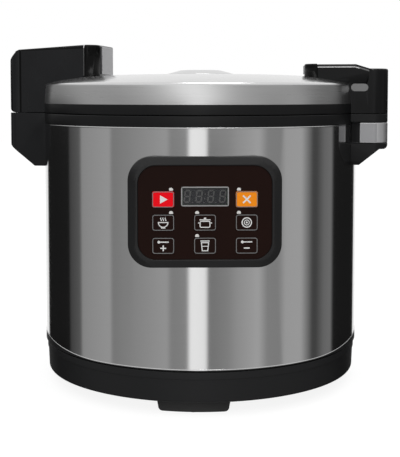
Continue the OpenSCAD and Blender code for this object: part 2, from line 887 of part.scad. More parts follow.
module thermal_sensor() {
    low = z_liner - liner_t - guide_len - stem_out;
    color("gainsboro") union() {
        translate([0, 0, z_plate_top - sensor_h]) cylinder(r = sensor_r, h = sensor_h - slip + fit);
        translate([0, 0, low]) cylinder(r = stem_r, h = z_plate_top - sensor_h - low + EPS);
    }
}

module thermal_fuse() {
    color("ivory") translate([0, -support_place, z_liner - liner_t - fuse_r - fit])
        rotate([0, 90, 0]) cylinder(r = fuse_r, h = fuse_len, center = true);
}

module power_board() {
    color("darkgreen") difference() {
        translate([-power_place - power_w / 2, -power_len / 2, z_cover_top + stud_h])
            cube([power_w, power_len, board_t]);
        power_stud_places() cylinder(r = screw_r, h = FAR);
    }
}

module power_parts() {
    low = z_cover_top + stud_h + board_t;
    side = power_w / 3;
    color("steelblue") union() {
        translate([-power_place - side / 2, -power_len / 4 - side / 2, low]) cube([side, side, power_part_h]);
        translate([-power_place - side / 2, power_len / 8, low]) cube([side, side / 2, power_part_h * 2 / 3]);
        translate([-power_place, power_len / 3, low]) cylinder(r = side / 4, h = power_part_h);
    }
}

// Bezel block with round corners and a bevelled front, all in the panel frame
module bezel_block() {
    flat = d_lip - bezel_bevel_d;
    front_r = bezel_corner - bezel_bevel;
    cx = bezel_w / 2 - bezel_corner;
    cy = bezel_h / 2 - bezel_corner;
    slab(body_r - bezel_sag - sheet_t, flat) rounded_rect(bezel_w, bezel_h, bezel_corner);
    for (x = [-cx, cx])
        for (y = [-cy, cy])
            translate([x, y, flat]) cylinder(r1 = bezel_corner, r2 = front_r, h = bezel_bevel_d);
    across(2 * cy) polygon([
        [-bezel_w / 2, flat], [bezel_w / 2, flat],
        [bezel_w / 2 - bezel_bevel, d_lip], [bezel_bevel - bezel_w / 2, d_lip]
    ]);
    rotate([90, 0, 90]) linear_extrude(2 * cx, center = true) polygon([
        [-bezel_h / 2, flat], [bezel_h / 2, flat],
        [bezel_h / 2 - bezel_bevel, d_lip], [bezel_bevel - bezel_h / 2, d_lip]
    ]);
}

module control_bezel() {
    color([0.12, 0.12, 0.12]) difference() {
        panel_frame() difference() {
            bezel_block();
            slab(d_face_back, FAR) rounded_rect(face_w + 2 * fit, face_h + 2 * fit, face_corner + fit);
            difference() {
                slab(0, FAR) rounded_rect(opening_w, opening_h, opening_corner);
                post_places() board_post();
            }
            post_places() cylinder(r = screw_r + fit, h = d_face_back - board_t);
            bezel_screw_places() cylinder(r = screw_r + fit, h = bezel_seat + screw_len + fit);
        }
        cylinder(r = body_r + fit, h = FAR);
    }
}

// Post for the board, with a web to the nearest side of the opening
module board_post() {
    post_r = screw_r + post_wall;
    translate([0, 0, d_board]) cylinder(r = post_r, h = board_gap);
    translate([0, -post_r / 2, d_board]) cube([2 * post_edge, post_r, board_gap]);
}

// Places of the four posts, local X towards the near side of the opening
module post_places() {
    for (turn = [0, 180])
        for (y = [-1, 1])
            rotate([0, 0, turn]) translate([post_x, y * post_z, 0]) children();
}

module panel_face() {
    color([0.13, 0.09, 0.08]) panel_frame() difference() {
        slab(d_face_back, d_face) rounded_rect(face_w, face_h, face_corner);
        for (key = KEYS)
            translate([key_x(key), key_z(key), 0]) slab(0, FAR)
                rounded_rect(key_w + 2 * slip, key_h + 2 * slip, key_corner + slip);
        translate([0, display_z, 0]) slab(0, FAR)
            square([display_w - 2 * display_border, display_h - 2 * display_border], center = true);
        lens_plans(fit) cylinder(r = lens_r + fit, h = FAR);
    }
}

// Lens shapes, cut off above the key that they belong to
module lens_plans(grow) {
    for (key = KEYS)
        if (key[3] != 0)
            difference() {
                translate([key_x(key) + key[3] * lens_shift, key_z(key) + key_h / 2 + lens_rise, 0])
                    children();
                translate([key_x(key), key_z(key), 0]) slab(0, FAR)
                    square([key_w + 2 * slip, key_h + 4 * slip - 2 * grow], center = true);
            }
}

module display_frame() {
    color("darkgray") panel_frame() translate([0, display_z, 0]) difference() {
        slab(d_face, d_face + key_proud) rounded_rect(display_w, display_h, key_corner);
        slab(0, FAR)
            square([display_w - 2 * display_border, display_h - 2 * display_border], center = true);
    }
}

module display_window() {
    w = display_w - 2 * display_border - 2 * fit;
    h = display_h - 2 * display_border - 2 * fit;
    color([0.1, 0.1, 0.1, 0.6]) panel_frame() translate([0, display_z, 0])
        slab(d_face - window_t, d_face) square([w, h], center = true);
}

module display_module() {
    color([0.07, 0.07, 0.07]) panel_frame() translate([0, display_z, 0])
        slab(d_board, d_face - window_t - fit)
            square([display_w - 4 * display_border, display_h - 4 * display_border], center = true);
}

module indicator_lenses() {
    color("whitesmoke") panel_frame() lens_plans(0)
        translate([0, 0, d_face_back]) cylinder(r = lens_r, h = face_t + key_proud);
}

module control_board() {
    color("darkgreen") panel_frame() difference() {
        slab(d_board - board_t, d_board - EPS) rounded_rect(board_w, board_h, opening_corner);
        post_places() cylinder(r = screw_r + fit, h = FAR);
    }
}

module tact_switches() {
    color([0.2, 0.2, 0.22]) panel_frame() for (key = KEYS)
        translate([key_x(key), key_z(key), 0]) difference() {
            slab(d_board, d_switch) square(switch_w, center = true);
            translate([0, 0, d_switch - 2 * key_travel]) cylinder(r = key_stem_r + run, h = FAR);
        }
}

module panel_screws() {
    color("gray") panel_frame() union() {
        post_places() translate([0, 0, d_board - board_t]) screw(board_gap);
        bezel_screw_places() translate([0, 0, bezel_seat]) screw(screw_len);
    }
}

// One key: cap in the face plate, flange behind it and a stem in its switch
module key_piece(key, shade) {
    flange_front = d_face_back - fit;
    color(shade) panel_frame() translate([key_x(key), key_z(key), 0]) union() {
        slab(flange_front - EPS, d_face + key_proud) rounded_rect(key_w, key_h, key_corner);
        slab(flange_front - key_flange_t, flange_front)
            square([key_w + 2 * key_flange_w, key_h + 2 * key_flange_w], center = true);
        translate([0, 0, d_switch - key_travel / 2])
            cylinder(r = key_stem_r, h = flange_front - d_switch + key_travel / 2 - EPS);
    }
}

module key_start() { key_piece(KEYS[0], "red"); }
module key_cancel() { key_piece(KEYS[1], "orange"); }
module key_one() { key_piece(KEYS[2], [0.13, 0.09, 0.08]); }
module key_two() { key_piece(KEYS[3], [0.13, 0.09, 0.08]); }
module key_three() { key_piece(KEYS[4], [0.13, 0.09, 0.08]); }
module key_plus() { key_piece(KEYS[5], [0.13, 0.09, 0.08]); }
module key_four() { key_piece(KEYS[6], [0.13, 0.09, 0.08]); }
module key_minus() { key_piece(KEYS[7], [0.13, 0.09, 0.08]); }

module power_inlet() {
    back = d_inlet - socket_d - inlet_back;
    color([0.1, 0.1, 0.1]) difference() {
        inlet_frame() difference() {
            slab(0, d_inlet) rounded_rect(inlet_w, inlet_h, inlet_corner);
            slab(d_inlet - socket_d, FAR) rounded_rect(socket_w, socket_h, socket_corner);
        }
        difference() {
            cylinder(r = body_r + fit, h = FAR);
            inlet_frame() slab(back, FAR)
                rounded_rect(inlet_neck_w - 2 * fit, inlet_neck_h - 2 * fit, inlet_corner - fit);
        }
    }
}

module inlet_pins() {
    low = d_inlet - socket_d;
    color("gold") inlet_frame() for (x = [-1, 0, 1])
        translate([x * contact_step, (abs(x) - 0.5) * -contact_h, 0])
            slab(low, d_inlet - contact_recess) square([contact_t, contact_h], center = true);
}

module data_plate() {
    low = z_shell + data_rise;
    color("whitesmoke") rotate([0, 0, data_turn]) rotate_extrude(angle = data_angle)
        translate([body_r + fit, low]) square([data_t, data_h]);
}

// Bracket from the body out to its reach, under a side outline
module bracket_block(reach, corner) {
    intersection() {
        across(arm_w) children();
        linear_extrude(z_seam + EPS) arm_plan(body_r / 2, reach, arm_w, corner, corner);
    }
}

module hinge_bracket_outline() {
    polygon([
        [body_r / 2, z_bracket], [hinge_reach - bracket_slant_w, z_bracket],
        [hinge_reach, z_bracket + bracket_slant_h], [hinge_reach, z_seam], [body_r / 2, z_seam]
    ]);
}

module latch_bracket_outline() {
    lip_u = handle_reach - latch_lip_w;
    polygon(concat(
        [[body_r / 2, z_latch_low], [lip_u - latch_slant_w, z_latch_low], [lip_u, z_latch_lip]],
        arc(handle_reach - latch_lip_r, z_latch_lip + latch_lip_r, latch_lip_r, -90, 0),
        [[handle_reach, z_seam], [body_r / 2, z_seam]]
    ));
}

module body_space() {
    cylinder(r = body_r + fit, h = z_seam + EPS);
}

module hinge_bracket() {
    hollow = body_r + screw_len;
    color([0.12, 0.12, 0.12]) hinge_side() difference() {
        union() {
            bracket_block(hinge_reach, hinge_corner) hinge_bracket_outline();
            across(knuckle_w) translate([u_pin - knuckle_r, z_seam - bracket_wall])
                square([2 * knuckle_r, pin_rise + bracket_wall]);
            translate([u_pin, 0, z_pin]) rotate([90, 0, 0])
                cylinder(r = knuckle_r, h = knuckle_w, center = true);
        }
        body_space();
        bracket_holes();
        translate([hollow, -arm_w / 2 + bracket_wall, z_bracket + bracket_slant_h])
            cube([hinge_reach - hollow - bracket_wall, arm_w - 2 * bracket_wall,
                bracket_h - bracket_slant_h - 2 * bracket_wall]);
        translate([u_pin, 0, z_pin]) rotate([90, 0, 0]) cylinder(r = pin_r + run, h = arm_w, center = true);
    }
}

module hinge_pin() {
    color("silver") hinge_side() translate([u_pin, 0, z_pin])
        rotate([90, 0, 0]) cylinder(r = pin_r, h = arm_w - 4 * bracket_wall, center = true);
}

module latch_bracket() {
    core_w = arm_w - 2 * button_wall - 2 * slip;
    core_corner = latch_corner - button_wall;
    low = z_button - slip;
    color([0.12, 0.12, 0.12]) latch_side() difference() {
        bracket_block(handle_reach, latch_corner) latch_bracket_outline();
        difference() {
            translate([0, 0, low]) linear_extrude(z_flange - low)
                translate([body_r / 2, -arm_w]) square([handle_reach, 2 * arm_w]);
            translate([0, 0, low - EPS]) linear_extrude(z_flange - low + 2 * EPS)
                arm_plan(body_r / 2, u_core, core_w, core_corner, core_corner);
        }
        body_space();
        bracket_holes();
        translate([u_hook - latch_travel - 2 * slip, -hook_slot_w / 2, z_hook - slip])
            cube([handle_reach, hook_slot_w, z_flange - z_hook + slip]);
        translate([u_hook - latch_travel - 2 * slip, -hook_slot_w / 2, z_flange - slip])
            cube([latch_travel + hook_t + hook_nose + 4 * slip, hook_slot_w, flange_h + 2 * slip]);
        latch_spring_places()
            cylinder(r = latch_spring_r + latch_wire / 2 + slip, h = FAR);
    }
}

u_spring = u_button_in - latch_spring_len;

// Pockets for the latch springs, axis along local X
module latch_spring_places() {
    for (y = [-1, 1])
        translate([u_spring, y * latch_spring_place, z_button + button_h / 2]) rotate([0, 90, 0]) children();
}

module bracket_screws() {
    color("gray") union() {
        hinge_side() bracket_screw_places() translate([0, 0, bracket_seat]) screw(screw_len);
        latch_side() bracket_screw_places() translate([0, 0, bracket_seat]) screw(screw_len);
    }
}

module latch_button() {
    in_corner = latch_corner - button_wall;
    color("gainsboro") latch_side() intersection() {
        translate([0, 0, z_button]) linear_extrude(button_h) difference() {
            arm_plan(body_r / 2, handle_reach, arm_w, latch_corner, latch_corner);
            arm_plan(body_r / 2 - button_wall, u_button_in, arm_w - 2 * button_wall, in_corner, in_corner);
        }
        translate([u_button, -arm_w, 0]) cube([arm_w, 2 * arm_w, FAR]);
    }
}

module latch_hook() {
    top = z_seam + hook_rise;
    color("silver") latch_side() across(hook_w) polygon([
        [u_button_in, z_hook], [u_button_in, z_hook + hook_t], [u_hook + hook_t, z_hook + hook_t],
        [u_hook + hook_t, top - hook_t], [u_hook + hook_t + hook_nose, top - hook_t],
        [u_hook + hook_t, top], [u_hook, top], [u_hook, z_hook]
    ]);
}

module latch_springs() {
    color("dimgray") latch_side() latch_spring_places()
        translate([0, 0, fit]) coil(latch_spring_r, latch_wire, latch_spring_len - 2 * fit, LATCH_TURNS);
}

module lid_cover() {
    inner = lid_outline(z_skirt, -sheet_t);
    color("silver") difference() {
        rotate_extrude() polygon(concat(
            lid_outline(z_skirt, 0),
            [for (i = [len(inner) - 1 : -1 : 0]) inner[i]]
        ));
        cylinder(r = tube_r + tube_wall + fit, h = FAR);
        arm_screw_places() cylinder(r = screw_r + fit, h = FAR);
    }
}

module lid_rim_ring() {
    lip_r = body_r - lid_draft - sheet_t - fit;
    color([0.11, 0.11, 0.11]) rotate_extrude() polygon([
        [body_r, z_lid], [body_r, z_skirt - fit], [lip_r, z_skirt - fit], [lip_r, z_skirt + ring_lip_h],
        [lip_r - ring_lip_t, z_skirt + ring_lip_h], [lip_r - ring_lip_t, z_inner_flange],
        [ring_in_r, z_inner_flange], [ring_in_r, z_lid]
    ]);
}

module lid_inner_panel() {
    top = z_inner_flange + inner_panel_t;
    in = inner_panel_r - inner_panel_t;
    hole = tube_r;
    color("lightgray") rotate_extrude() polygon([
        [hole, z_inner_panel], [inner_panel_r, z_inner_panel], [inner_panel_r, z_inner_flange],
        [ring_in_r + inner_flange_w, z_inner_flange], [ring_in_r + inner_flange_w, top], [in, top],
        [in, z_inner_panel + inner_panel_t], [hole, z_inner_panel + inner_panel_t]
    ]);
}

module lid_gasket() {
    middle = pot_r + pot_rim_w / 2 - pot_t / 2;
    color("ivory")
        ring(middle + gasket_w / 2, middle - gasket_w / 2, z_ledge + pot_rim_t + slip, z_inner_panel);
}

module lid_insulation() {
    low = z_inner_panel + inner_panel_t;
    out = inner_panel_r - inner_panel_t - slip;
    color("khaki") ring(out, tube_r + tube_wall + slip, low, low + lid_insulation_t);
}

module vent_tube() {
    low = z_inner_panel + inner_panel_t;
    color([0.15, 0.15, 0.15]) ring(tube_r + tube_wall, tube_r, low, z_dome);
}

module vent_cap() {
    low = z_dome + fit;
    top = low + cap_h;
    spigot_r = tube_r - slip;
    color("gainsboro") difference() {
        rotate_extrude() polygon([
            [0, top - cap_wall], [spigot_r - cap_wall, top - cap_wall],
            [spigot_r - cap_wall, low - spigot_len], [spigot_r, low - spigot_len], [spigot_r, low],
            [cap_rim_r, low], [cap_rim_r, low + cap_rim_t],
            [cap_top_r + cap_edge_w, top - cap_edge_h], [cap_top_r, top], [0, top]
        ]);
        for (i = [0 : 5])
            rotate([0, 0, 60 * i]) translate([tube_r / 2, 0, low]) cylinder(r = steam_hole_r, h = FAR);
    }
}

// The lid's outside with a small margin, cut out of what sits on it
module lid_space() {
    rotate_extrude() polygon(concat([[0, z_seam - EPS]], lid_outline(z_seam - EPS, fit)));
}

// Screw places under both arms: distance from the axis and side
hinge_screw_u = hinge_end + end_cap_len + 2 * head_r;
handle_screw_u = handle_end + end_cap_len + 2 * head_r;

module arm_screw_places() {
    for (y = [-1, 1]) {
        hinge_side() translate([hinge_screw_u, y * arm_w / 4, 0]) children();
        latch_side() translate([handle_screw_u, y * arm_w / 4, 0]) children();
    }
}

// Top of the hinge arm at a distance from the axis
function hinge_top(u) = z_hinge_top + hinge_slope * (hinge_reach - u) / hinge_len;

module hinge_outline(from) {
    difference() {
        polygon([
            [from, z_lid], [hinge_reach, z_lid], [hinge_reach, z_hinge_top - hinge_bevel],
            [hinge_reach - hinge_bevel, hinge_top(hinge_reach - hinge_bevel)], [from, hinge_top(from)]
        ]);
        difference() {
            translate([u_pin, z_pin - 2 * pin_inset]) square(2 * pin_inset);
            translate([u_pin, z_pin]) circle(pin_inset);
        }
    }
}

module hinge_arm() {
    from = hinge_end + end_cap_len;
    slot_u = u_pin - knuckle_r - slip;
    hollow_u = body_r - 2 * bracket_wall;
    boss_r = screw_r + bracket_wall;
    color([0.12, 0.12, 0.12]) difference() {
        hinge_side() difference() {
            intersection() {
                across(arm_w) hinge_outline(from);
                translate([0, 0, z_seam]) linear_extrude(FAR)
                    arm_plan(from - 2 * hinge_corner, hinge_reach, arm_w, hinge_corner, hinge_corner);
            }
            difference() {
                translate([from + bracket_wall, bracket_wall - arm_w / 2, z_seam])
                    cube([hollow_u - from - bracket_wall, arm_w - 2 * bracket_wall,
                        z_hinge_top - bracket_wall - z_seam]);
                for (y = [-1, 1])
                    translate([hinge_screw_u, y * arm_w / 4, 0]) cylinder(r = boss_r, h = 2 * FAR);
            }
            translate([slot_u, -knuckle_w / 2 - slip, z_seam])
                cube([arm_w, knuckle_w + 2 * slip, pin_rise + knuckle_r + slip]);
            translate([u_pin, 0, z_pin]) rotate([90, 0, 0])
                translate([0, 0, bracket_wall - arm_w / 2])
                    cylinder(r = pin_r + run, h = arm_w - 2 * bracket_wall);
        }
        lid_space();
        hinge_side() for (y = [-1, 1])
            translate([hinge_screw_u, y * arm_w / 4, 0])
                cylinder(r = screw_r + fit, h = dome_z(hinge_screw_u) + screw_len);
    }
}

module handle_outline(from) {
    slope_u = handle_reach - handle_post_w;
    polygon([
        [from, z_lid], [handle_reach, z_lid], [handle_reach, z_handle_top - handle_drop],
        [slope_u, z_handle_top - handle_drop], [slope_u - handle_slope_w, z_handle_top], [from, z_handle_top]
    ]);
}

module lid_handle() {
    from = handle_end + end_cap_len;
    color([0.12, 0.12, 0.12]) difference() {
        latch_side() difference() {
            intersection() {
                across(arm_w) handle_outline(from);
                translate([0, 0, z_seam]) linear_extrude(FAR)
                    arm_plan(from - 2 * latch_corner, handle_reach, arm_w, latch_corner, latch_corner);
            }
            translate([u_hook - latch_travel - 2 * slip, -hook_slot_w / 2, z_seam])
                cube([u_strike - u_hook + latch_travel + strike_t + 2 * slip + fit, hook_slot_w,
                    hook_rise + 3 * slip + strike_t]);
            inlay_place() inlay_shape(fit);
        }
        lid_space();
        latch_side() for (y = [-1, 1])
            translate([handle_screw_u, y * arm_w / 4, 0])
                cylinder(r = screw_r + fit, h = z_handle_top - bracket_wall / 2);
    }
}

// Oblong inlay on the handle's front face
module inlay_place() {
    u = handle_reach - handle_post_w - inlay_gap - inlay_len / 2;
    z = z_handle_top - handle_drop - inlay_drop;
    translate([u, -arm_w / 2, z]) rotate([90, 0, 0]) children();
}

module inlay_shape(grow) {
    translate([0, 0, -inlay_t - grow]) linear_extrude(inlay_t + 2 * grow)
        rounded_rect(inlay_len + 2 * grow, inlay_h + 2 * grow, inlay_h / 2 + grow - EPS);
}

module handle_inlay() {
    color("darkgray") latch_side() inlay_place()
        translate([0, 0, -inlay_t]) linear_extrude(inlay_t)
            rounded_rect(inlay_len, inlay_h, inlay_h / 2 - EPS);
}

// Rounded end of an arm from its tip to the seam with the arm
module end_cap(tip, low, high, grow) {
    seam = tip + end_cap_len - fit;
    translate([0, 0, low]) linear_extrude(high - low) intersection() {
        arm_plan(tip, tip + 4 * end_cap_len, arm_w + 2 * grow, arm_end_r, arm_end_r);
        translate([tip - EPS, -arm_w]) square([seam - tip + EPS, 2 * arm_w]);
    }
}

module arm_end_caps() {
    color([0.1, 0.1, 0.1]) difference() {
        union() {
            hinge_side() end_cap(hinge_end, z_seam, hinge_top(hinge_end + end_cap_len), 0);
            latch_side() end_cap(handle_end, z_seam, z_handle_top + end_cap_proud, end_cap_proud);
        }
        lid_space();
    }
}

// Silver plate on the end of an arm, standing clear of the lid below
module end_plate(tip, high) {
    low = dome_z(tip - end_plate_t) + end_plate_edge;
    translate([tip - end_plate_t - fit, -end_plate_w / 2, low])
        cube([end_plate_t, end_plate_w, high - end_plate_edge - low]);
}

module arm_end_plates() {
    color("gainsboro") union() {
        hinge_side() end_plate(hinge_end, hinge_top(hinge_end + end_cap_len));
        latch_side() end_plate(handle_end, z_handle_top + end_cap_proud);
    }
}

module latch_strike() {
    color("silver") latch_side()
        translate([u_strike, -hook_w / 2, z_lid])
            cube([strike_t, hook_w, hook_rise]);
}

module arm_screws() {
    color("gray") union() {
        hinge_side() for (y = [-1, 1])
            translate([hinge_screw_u, y * arm_w / 4, arm_screw_seat(hinge_screw_u)]) screw(screw_len);
        latch_side() for (y = [-1, 1])
            translate([handle_screw_u, y * arm_w / 4, arm_screw_seat(handle_screw_u)]) screw(screw_len);
    }
}

// Height of the lid's underside below an arm screw's head
function arm_screw_seat(u) = dome_z(sqrt(u * u + arm_w * arm_w / 16) + head_r) - sheet_t - fit;

outer_shell();
base_housing();
bottom_cover();
feet();
base_screws();
body_rim_ring();
inner_liner();
insulation_wrap();
warming_band();
inner_pot();
heating_plate();
plate_supports();
heater_terminals();
sensor_holder();
sensor_spring();
thermal_sensor();
thermal_fuse();
power_board();
power_parts();
control_bezel();
panel_face();
display_frame();
display_window();
display_module();
indicator_lenses();
control_board();
tact_switches();
panel_screws();
key_start();
key_cancel();
key_one();
key_two();
key_three();
key_four();
key_plus();
key_minus();
power_inlet();
inlet_pins();
data_plate();
hinge_bracket();
hinge_pin();
latch_bracket();
bracket_screws();
latch_button();
latch_hook();
latch_springs();
lid_cover();
lid_rim_ring();
lid_inner_panel();
lid_gasket();
lid_insulation();
vent_tube();
vent_cap();
hinge_arm();
lid_handle();
arm_end_caps();
arm_end_plates();
handle_inlay();
latch_strike();
arm_screws();
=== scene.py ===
"""Rice warmer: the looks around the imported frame.

Blender works in metres. Sizes below are in millimetres, as in the part's source, and are scaled by MM where
meshes are made. +Z is up, the key panel faces -Y and the latch is towards +X.
"""

import json
import math

import bmesh
import bpy
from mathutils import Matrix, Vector

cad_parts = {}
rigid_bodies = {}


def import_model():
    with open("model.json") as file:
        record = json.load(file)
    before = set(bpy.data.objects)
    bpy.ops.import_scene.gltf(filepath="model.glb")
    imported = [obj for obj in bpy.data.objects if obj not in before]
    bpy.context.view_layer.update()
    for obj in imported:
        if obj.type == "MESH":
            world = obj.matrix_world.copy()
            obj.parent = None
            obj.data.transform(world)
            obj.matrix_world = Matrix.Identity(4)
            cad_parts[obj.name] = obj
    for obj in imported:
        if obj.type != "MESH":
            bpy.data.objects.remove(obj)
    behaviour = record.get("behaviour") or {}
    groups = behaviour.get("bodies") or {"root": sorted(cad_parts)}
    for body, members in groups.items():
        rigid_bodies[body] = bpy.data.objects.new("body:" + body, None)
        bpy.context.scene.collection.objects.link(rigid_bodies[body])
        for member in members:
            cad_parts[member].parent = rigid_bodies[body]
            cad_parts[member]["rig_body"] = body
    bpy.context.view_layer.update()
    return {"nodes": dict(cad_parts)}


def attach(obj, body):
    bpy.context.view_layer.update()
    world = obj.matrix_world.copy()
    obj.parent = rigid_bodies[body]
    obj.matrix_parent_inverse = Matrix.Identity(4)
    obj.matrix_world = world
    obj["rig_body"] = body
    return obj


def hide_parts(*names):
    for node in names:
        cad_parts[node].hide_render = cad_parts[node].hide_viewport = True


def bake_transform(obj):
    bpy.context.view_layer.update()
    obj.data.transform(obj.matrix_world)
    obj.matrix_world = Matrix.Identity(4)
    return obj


for leftover in list(bpy.data.objects):
    bpy.data.objects.remove(leftover)
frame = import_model()

MM = 0.001
UP = Vector((0, 0, 1))
NODES = frame["nodes"]
SEGMENTS, INNER_SEGMENTS = 256, 192

# Photograph: size in pixels, focal length in pixels and where the camera stood
IMAGE_W, IMAGE_H = 400, 457
LONG_SIDE = max(IMAGE_W, IMAGE_H)
SENSOR = 36.0
FOCAL_PX = 1030.0
CAMERA_DISTANCE = 1272.0
CAMERA_HEIGHT = 347.3
CAMERA_TURN = 1.4
CAMERA_PITCH = 3.54
SHIFT_X_PX, SHIFT_Y_PX = -0.5, -72.0

# Sizes of the part, as in its source
BODY_R, SHELL_H, SHEET_T = 190.0, 260.0, 1.2
FIT, SLIP, SEAM_GAP = 0.15, 0.3, 0.4
FOOT_H, BASE_H, BASE_WALL, BASE_INSET = 15.0, 34.0, 3.5, 1.5
BASE_DRAFT, BASE_FILLET = 1.0, 3.5
BASE_BAND_H, BASE_BAND_STEP = 8.0, 0.8
BASE_FLOOR_T, BASE_FLOOR_W = 4.0, 38.0
COVER_STEP_W, COVER_LIP_T = 10.0, 2.3
REVEAL_H, REVEAL_DEPTH, COLLAR_H = 2.0, 2.2, 12.0
BODY_RING_H, LID_RING_H, RING_W = 12.0, 11.3, 20.0
RING_LIP_H, RING_LIP_T, RING_FLOOR_DROP = 9.0, 2.6, 3.0
POT_GAP, POT_CLEAR, POT_T, POT_DEPTH = 32.0, 2.0, 2.0, 220.0
POT_CORNER, POT_RIM_W, POT_RIM_T, LEDGE_DROP = 24.0, 8.5, 3.0, 7.5
LID_SKIRT_H, LID_DRAFT, SKIRT_POWER = 20.0, 1.5, 1.7
SHOULDER_R, SHOULDER_TURN = 4.0, 68.0
DOME_H, DOME_POWER = 11.0, 4.5
TUBE_R = 10.0
INNER_PANEL_DROP, INNER_FLANGE_W, INNER_HOLE_R = 7.8, 6.0, 8.0
GASKET_W = 6.5
ARM_TURN, ARM_W = 11.0, 90.0

# Levels, from the floor up
Z_BASE = FOOT_H
Z_BASE_TOP = Z_BASE + BASE_H
Z_SHELL = Z_BASE_TOP + REVEAL_H
Z_RING = Z_SHELL + SHELL_H
Z_SEAM = Z_RING + BODY_RING_H
Z_LID = Z_SEAM + SEAM_GAP
Z_SKIRT = Z_LID + LID_RING_H
Z_SHOULDER = Z_SKIRT + LID_SKIRT_H
Z_LEDGE = Z_SEAM - LEDGE_DROP
Z_POT_RIM = Z_LEDGE + POT_RIM_T
Z_POT = Z_LEDGE - POT_DEPTH
Z_INNER_FLANGE = Z_LID + LID_RING_H / 2
Z_INNER_PANEL = Z_INNER_FLANGE - INNER_PANEL_DROP

# Radii that follow from the sizes
BASE_R = BODY_R - BASE_INSET
BASE_FOOT_R = BASE_R - BASE_BAND_STEP - BASE_DRAFT
FLOOR_IN_R = BASE_FOOT_R - BASE_FLOOR_W
COVER_R = FLOOR_IN_R + COVER_STEP_W
RING_IN_R = BODY_R - RING_W
POT_R = BODY_R - POT_GAP

# Key panel: middle height, depths from the axis, and the key grid
PANEL_Z = 221.5
D_MODULE, D_KEY = 192.85, 194.9
KEY_W, KEY_H, KEY_CORNER = 23.0, 17.0, 2.2
KEY_STEP_X, KEY_STEP_Z, KEY_TOP_Z = 44.0, 24.5, 14.0
DISPLAY_Z = 17.0


def into_scene(name, data):
    """New object in the scene with the given mesh, camera or lamp."""
    obj = bpy.data.objects.new(name, data)
    bpy.context.scene.collection.objects.link(obj)
    return obj


def make_camera():
    """Camera at the photograph's viewing angle."""
    data = bpy.data.cameras.new("photo_camera")
    data.sensor_width = SENSOR
    data.lens = FOCAL_PX * SENSOR / LONG_SIDE
    data.shift_x = SHIFT_X_PX / LONG_SIDE
    data.shift_y = SHIFT_Y_PX / LONG_SIDE
    turn = math.radians(CAMERA_TURN)
    camera = into_scene("photo_camera", data)
    camera.location = (
        -CAMERA_DISTANCE * MM * math.sin(turn),
        -CAMERA_DISTANCE * MM * math.cos(turn),
        CAMERA_HEIGHT * MM,
    )
    camera.rotation_euler = (math.radians(90 - CAMERA_PITCH), 0, -turn)
    bpy.context.scene.camera = camera


class Wiring:
    """Short calls for wiring one node tree."""

    def __init__(self, tree):
        self.tree = tree

    def add(self, kind, **settings):
        node = self.tree.nodes.new(kind)
        for key, value in settings.items():
            setattr(node, key, value)
        return node

    def put(self, socket, value):
        """Sets a socket to a plain value, or links an output to it."""
        if isinstance(value, bpy.types.NodeSocket):
            self.tree.links.new(value, socket)
        else:
            socket.default_value = value

    def fill(self, kind, names, *values, **settings):
        """New node with its sockets set by name, and its outputs."""
        node = self.add(kind, **settings)
        for name, value in zip(names.split(), values):
            self.put(node.inputs[name], value)
        return node.outputs

    def math(self, operation, a, b=0.0):
        node = self.add("ShaderNodeMath", operation=operation)
        self.put(node.inputs[0], a)
        self.put(node.inputs[1], b)
        return node.outputs[0]

    def spread(self, value, low, high, start=0.0, end=1.0, smooth=False):
        """Maps start to end of a value onto low to high."""
        node = self.add("ShaderNodeMapRange", interpolation_type="SMOOTHSTEP" if smooth else "LINEAR")
        for socket, number in zip(node.inputs[:5], (value, start, end, low, high)):
            self.put(socket, number)
        return node.outputs[0]

    def noise(self, vector, scale, detail=2.0, rough=0.5):
        sockets = "Vector Scale Detail Roughness"
        return self.fill("ShaderNodeTexNoise", sockets, vector, scale, detail, rough)["Fac"]

    def blend(self, factor, first, second):
        return self.fill("ShaderNodeMix", "Factor A B", factor, first, second, data_type="RGBA")["Result"]

    def bump(self, height, strength, distance):
        return self.fill("ShaderNodeBump", "Height Strength Distance", height, strength, distance)["Normal"]

    def place(self):
        return self.add("ShaderNodeTexCoord").outputs["Object"]

    def turned(self, slow, fast):
        """Coordinates that run in long streaks round the Z axis, for turned or brushed round metal."""
        split = self.add("ShaderNodeSeparateXYZ")
        self.put(split.inputs[0], self.place())
        x, y, z = split.outputs
        squares = self.math("ADD", self.math("MULTIPLY", x, x), self.math("MULTIPLY", y, y))
        radius = self.math("SQRT", squares)
        join = self.add("ShaderNodeCombineXYZ")
        self.put(join.inputs[0], self.math("MULTIPLY", x, slow))
        self.put(join.inputs[1], self.math("MULTIPLY", y, slow))
        self.put(join.inputs[2], self.math("MULTIPLY", self.math("ADD", radius, z), fast))
        return join.outputs[0]

    def streaked(self, scale):
        """Coordinates stretched by a factor for each axis, for straight brushing or drawn wire."""
        return self.fill("ShaderNodeMapping", "Vector Scale", self.place(), scale)["Vector"]


# Depth of surface grain in metres, the middle part of a noise's values, and a lacquer's roughness
GRAIN_DEPTH = 0.0001
NOISE_LOW, NOISE_HIGH = 0.3, 0.7
COAT_ROUGH = 0.12


def grey(level):
    return (level, level, level, 1.0)


def scaled(colour, factor):
    return (*(min(1.0, c * factor) for c in colour[:3]), 1.0)


def start_material(name):
    """New material, its wiring and the sockets of its shader."""
    made = bpy.data.materials.new(name)
    made.use_nodes = True
    wires = Wiring(made.node_tree)
    return made, wires, made.node_tree.nodes["Principled BSDF"].inputs


